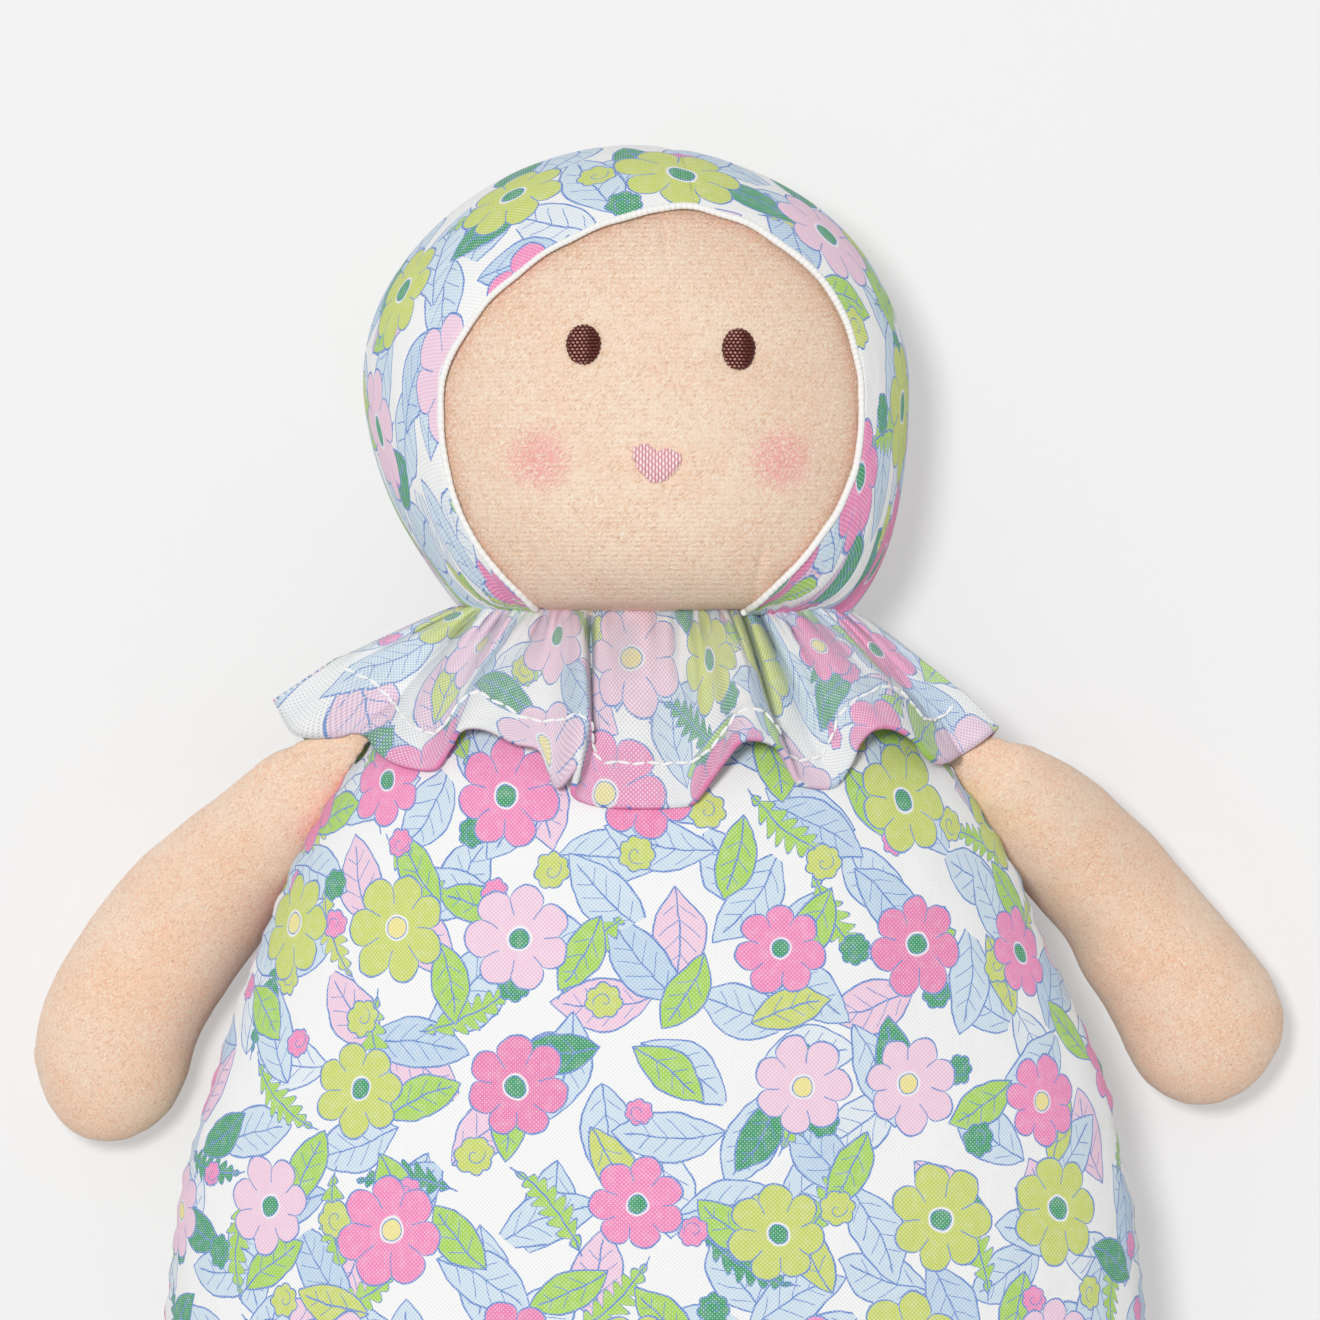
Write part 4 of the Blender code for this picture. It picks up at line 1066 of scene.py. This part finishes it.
def make_topstitch():
    """Short white stitches along the hem, each a small capsule lying on the cloth."""
    bm = bmesh.new()
    steps, places = 2400, []
    path = [collar_front(k / steps, TOPSTITCH_SHARE + 0.02) for k in range(steps + 1)]
    walked = 0.0
    for k in range(steps):
        here, ahead = path[k], path[k + 1]
        walked += (ahead - here).length
        if walked >= TOPSTITCH_LENGTH:
            walked = 0.0
            places.append(k)
    for number, (k, last) in enumerate(zip(places, places[1:])):
        start, end = path[k], path[last]
        middle, run = (start + end) / 2, (end - start)
        along = k / steps
        off = collar_front(along, TOPSTITCH_SHARE - 0.03) - collar_front(along, TOPSTITCH_SHARE + 0.03)
        up = run.cross(off).normalized()
        if up.z < 0:
            up = -up
        side = up.cross(run).normalized()
        turn = Matrix((run.normalized(), side, up)).transposed().to_4x4()
        jog = noise.noise(Vector((number * 0.7, 2.0, 0))) * 0.00030
        slant = Matrix.Rotation(0.20 if number % 2 else -0.08, 4, "Z")
        place = Matrix.Translation(middle + up * 0.00060 + side * jog) @ turn @ slant
        reach = run.length * 0.49
        size = Matrix.Diagonal((reach, TOPSTITCH_HALF_WIDTH, TOPSTITCH_HALF_WIDTH, 1.0))
        bmesh.ops.create_uvsphere(bm, u_segments=8, v_segments=7, radius=1.0,
                                  matrix=place @ size @ Matrix.Rotation(math.pi / 2, 4, "Y"))
    add_piece("collar_topstitch", bm, STITCH_COTTON, "torso", [])


# Stuffed pieces


def frame_mesh(nodes, grow):
    """The frame's solids of one piece as one mesh, a little larger, so thin ends survive."""
    bm = bmesh.new()
    for node in nodes:
        source = frame["nodes"][node]
        part = bmesh.new()
        part.from_mesh(source.data)
        part.transform(source.matrix_world)
        bmesh.ops.remove_doubles(part, verts=part.verts, dist=0.00001)
        part.normal_update()
        for vertex in part.verts:
            vertex.co += vertex.normal * grow
        spare = mesh_from("spare", part)
        bm.from_mesh(spare)
        bpy.data.meshes.remove(spare)
    return bm


def even_mesh(bm, name, voxel):
    """Closed skin of even squares round the solids."""
    made = placed(name, mesh_from(name, bm))
    with_modifiers(made, ("REMESH", {"mode": "VOXEL", "voxel_size": voxel}))
    bake_modifiers(made)
    keep_largest_part(made)
    return made


def bake_modifiers(piece):
    view = bpy.context.evaluated_depsgraph_get()
    baked = bpy.data.meshes.new_from_object(piece.evaluated_get(view), depsgraph=view)
    old = piece.data
    piece.modifiers.clear()
    piece.data = baked
    bpy.data.meshes.remove(old)


def keep_largest_part(piece):
    bm = bmesh.new()
    bm.from_mesh(piece.data)
    left = set(bm.verts)
    parts = []
    while left:
        reached, edge = set(), [left.pop()]
        while edge:
            vertex = edge.pop()
            reached.add(vertex)
            for link in vertex.link_edges:
                other = link.other_vert(vertex)
                if other in left:
                    left.discard(other)
                    edge.append(other)
        parts.append(reached)
    widest = max(parts, key=len)
    bmesh.ops.delete(bm, geom=[v for v in bm.verts if v not in widest], context="VERTS")
    bm.to_mesh(piece.data)
    bm.free()


def coordinates(mesh):
    flat = np.empty(3 * len(mesh.vertices))
    mesh.vertices.foreach_get("co", flat)
    return flat.reshape(-1, 3)


def shifted(piece, distance):
    """Every point moved along its normal."""
    mesh = piece.data
    normals = np.empty(3 * len(mesh.vertices))
    mesh.vertices.foreach_get("normal", normals)
    places = coordinates(mesh) + normals.reshape(-1, 3) * distance
    mesh.vertices.foreach_set("co", places.ravel())
    mesh.update()


def swollen(piece, pressure, cap):
    """The filling's push on the cloth, by a short cloth simulation."""
    rest = coordinates(piece.data)
    cloth = piece.modifiers.new("filled", "CLOTH")
    for key, value in (("use_pressure", True), ("uniform_pressure_force", pressure), ("mass", 0.15),
                       ("tension_stiffness", 18), ("compression_stiffness", 18),
                       ("shear_stiffness", 6), ("bending_stiffness", 0.4)):
        setattr(cloth.settings, key, value)
    cloth.settings.effector_weights.gravity = 0.0
    cloth.point_cache.frame_start, cloth.point_cache.frame_end = 1, SIMULATION_STEPS
    for step in range(1, SIMULATION_STEPS + 1):
        bpy.context.scene.frame_set(step)
    view = bpy.context.evaluated_depsgraph_get()
    moved = coordinates(piece.evaluated_get(view).to_mesh())
    piece.evaluated_get(view).to_mesh_clear()
    piece.modifiers.clear()
    bpy.context.scene.frame_set(1)
    step = moved - rest
    reach = np.maximum(np.linalg.norm(step, axis=1, keepdims=True), 1e-9)
    step *= np.minimum(1.0, cap / reach)
    piece.data.vertices.foreach_set("co", (rest + step).ravel())
    piece.data.update()


def smoothed(piece, rounds):
    bm = bmesh.new()
    bm.from_mesh(piece.data)
    for _ in range(rounds):
        bmesh.ops.smooth_vert(bm, verts=bm.verts, factor=0.5, use_axis_x=True, use_axis_y=True,
                              use_axis_z=True)
    bm.to_mesh(piece.data)
    bm.free()
    piece.data.update()


def finer(piece):
    with_modifiers(piece, subdivided(1))
    bake_modifiers(piece)


def stuffed_piece(name, nodes, voxel, grow, trim, pressure, cap, shape, material, cloth):
    """A stuffed form in the space of its solids, then its seams, print places and material."""
    piece = even_mesh(frame_mesh(nodes, grow), name, voxel)
    smoothed(piece, 3)
    shifted(piece, trim - grow)
    swollen(piece, pressure, cap)
    finer(piece)
    mesh = piece.data
    normals = [vertex.normal.copy() for vertex in mesh.vertices]
    for vertex, normal in zip(mesh.vertices, normals):
        place = shape(vertex.co - NECK_PLACE, normal)
        place.z = max(place.z, 0.0)
        vertex.co = place + NECK_PLACE
    mesh.materials.clear()
    mesh.materials.append(material)
    mesh.shade_smooth()
    lay_out(piece, cloth)
    return piece


def body_cloth(point):
    wide, deep = body_halves(point.y)
    height = point.z - body_middle(point.y)
    turn = math.atan2(point.x / wide, abs(height) / max(deep, 0.001))
    across = wide * (turn * 0.55 + math.sin(turn) * 0.45) * 1.06
    return Vector((across, point.y * 1.08, height))


def body_shape(point, normal):
    height = point.z - body_middle(point.y)
    side = bell(height, 0.0011)
    puckers = math.sin(point.y * 1250 + 3 * noise.noise(point * 90)) * bell(height, 0.006)
    soft = noise.noise(point * 28) * 0.0007 + noise.noise(point * 75) * 0.0002
    wide = body_halves(point.y)[0]
    left, right = smooth_places(BODY_EDGES, max(0.0, min(1.0, -point.y / 0.100)))
    let_out = Vector((point.x * (left if point.x < 0 else right) * MM / wide, 0, 0))
    return point + let_out + normal * (soft - 0.0004 * side + 0.00022 * puckers)


def limb_axis(limb):
    """Where a limb turns, which way it folds away from its seam, and which way it lies."""
    joint = JOINTS[limb + ("_lift" if limb.endswith("arm") else "_fold")]
    place, axis = Vector(joint["pos_m"]), Vector(joint["axis"])
    low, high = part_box(limb + "_front")
    middle = (Vector(low) + Vector(high)) / 2
    run = axis.cross(Vector((0, 0, 1))).normalized()
    if run.dot(middle - place) < 0:
        run = -run
    return place, run, (middle - place).normalized()


def make_limb(limb, voxel, pressure, cap):
    place, run, way = limb_axis(limb)
    local = place - NECK_PLACE
    across = way.cross(Vector((0, 0, 1))).normalized()

    def cloth(point):
        offset = point - local
        return Vector((offset.dot(across), offset.dot(way), FLAT))

    def shape(point, normal):
        soft = noise.noise(point * 60) * 0.0004
        bend, wider = smooth_places(LIMB_BENDS[limb], max(0.0, min(1.0, (-0.020 - point.y) / 0.055)))
        offset = point - local
        offset = way * offset.dot(way) * LONGER[limb] + across * offset.dot(across) * wider
        return point + offset + Vector((bend * MM, 0, 0)) + normal * soft

    nodes = [limb + end for end in ("_front", "_back", "_stuffing", "_end")]
    piece = stuffed_piece(limb + "_cloth", nodes, voxel, 0.0007, 0.0007, pressure, cap, shape,
                          LIMB_VELOUR, cloth)
    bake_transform(piece)
    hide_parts(*nodes)


def make_body():
    nodes = ["body_front", "body_back", "body_stuffing"]
    piece = stuffed_piece("body_cloth", nodes, 0.0030, 0.0, 0.0003, 4.0, 0.002, body_shape,
                          BODY_COTTON, body_cloth)
    finish_piece(piece, "torso", nodes)


# Room


def make_floor():
    bm = bmesh.new()
    bmesh.ops.create_grid(bm, x_segments=2, y_segments=2, size=4.0)
    mesh = mesh_from("floor", bm)
    made, tree, shader = new_material("floor_paint", 0.9, 0.0)
    shader.inputs["Base Color"].default_value = (0.890, 0.890, 0.890, 1.0)
    shader.inputs["Specular IOR Level"].default_value = 0.0
    pale = tree.nodes.new("ShaderNodeEmission")
    pale.inputs["Color"].default_value = (0.887, 0.887, 0.887, 1.0)
    seen = tree.nodes.new("ShaderNodeLightPath").outputs["Is Camera Ray"]
    both = tree.nodes.new("ShaderNodeMixShader")
    put(tree, Amount(tree, seen) * 0.42, both.inputs["Fac"])
    tree.links.new(shader.outputs[0], both.inputs[1])
    tree.links.new(pale.outputs[0], both.inputs[2])
    tree.links.new(both.outputs[0], tree.nodes["Material Output"].inputs["Surface"])
    mesh.materials.append(made)
    floor = placed("floor", mesh)
    floor.location.z = -0.0002


def add_lamp(name, place, size, power):
    light = bpy.data.lights.new(name, "AREA")
    light.shape = "DISK"
    light.size = size
    light.energy = power
    lamp = placed(name, light)
    lamp.location = place
    lamp.rotation_euler = (-Vector(place)).to_track_quat("-Z", "Y").to_euler()


def make_room():
    make_floor()
    add_lamp("window_light", (-0.31, 0.32, 2.0), 0.36, 24.0)
    world = bpy.data.worlds.new("studio")
    world.use_nodes = True
    light = world.node_tree.nodes["Background"].inputs
    light["Color"].default_value, light["Strength"].default_value = (1, 1, 1, 1), 0.44
    bpy.context.scene.world = world
    bpy.context.scene.view_settings.view_transform = "Standard"


def make_camera():
    """Straight above, with the whole picture 198 mm wide at the height of the seams."""
    camera = bpy.data.cameras.new("camera")
    camera.sensor_width = 36.0
    camera.lens = 363.6
    camera.clip_end = 20.0
    made = placed("camera", camera)
    made.location = (NECK.x + 0.00045, NECK.y - 0.0075, MID_HEIGHT + 2.0)
    bpy.context.scene.camera = made


make_camera()
make_room()
make_body()
for limb_name, squares in (("left_arm", 0.0016), ("right_arm", 0.0016),
                           ("left_leg", 0.0018), ("right_leg", 0.0018)):
    make_limb(limb_name, squares, 4.0, 0.0022)
make_face()
make_hood(-1, "hood_cloth_left", "hood_left")
make_hood(1, "hood_cloth_right", "hood_right")
make_piping()
make_eye("left_eye_stitching", "left_eye", EYE_MIDDLES[0], 0.0392, 0.00243, 0.00287, 0.03)
make_eye("right_eye_stitching", "right_eye", EYE_MIDDLES[1], 0.03856, 0.00233, 0.00299, -0.03)
make_heart()
collar_piece, collar_length = make_collar()
make_topstitch()
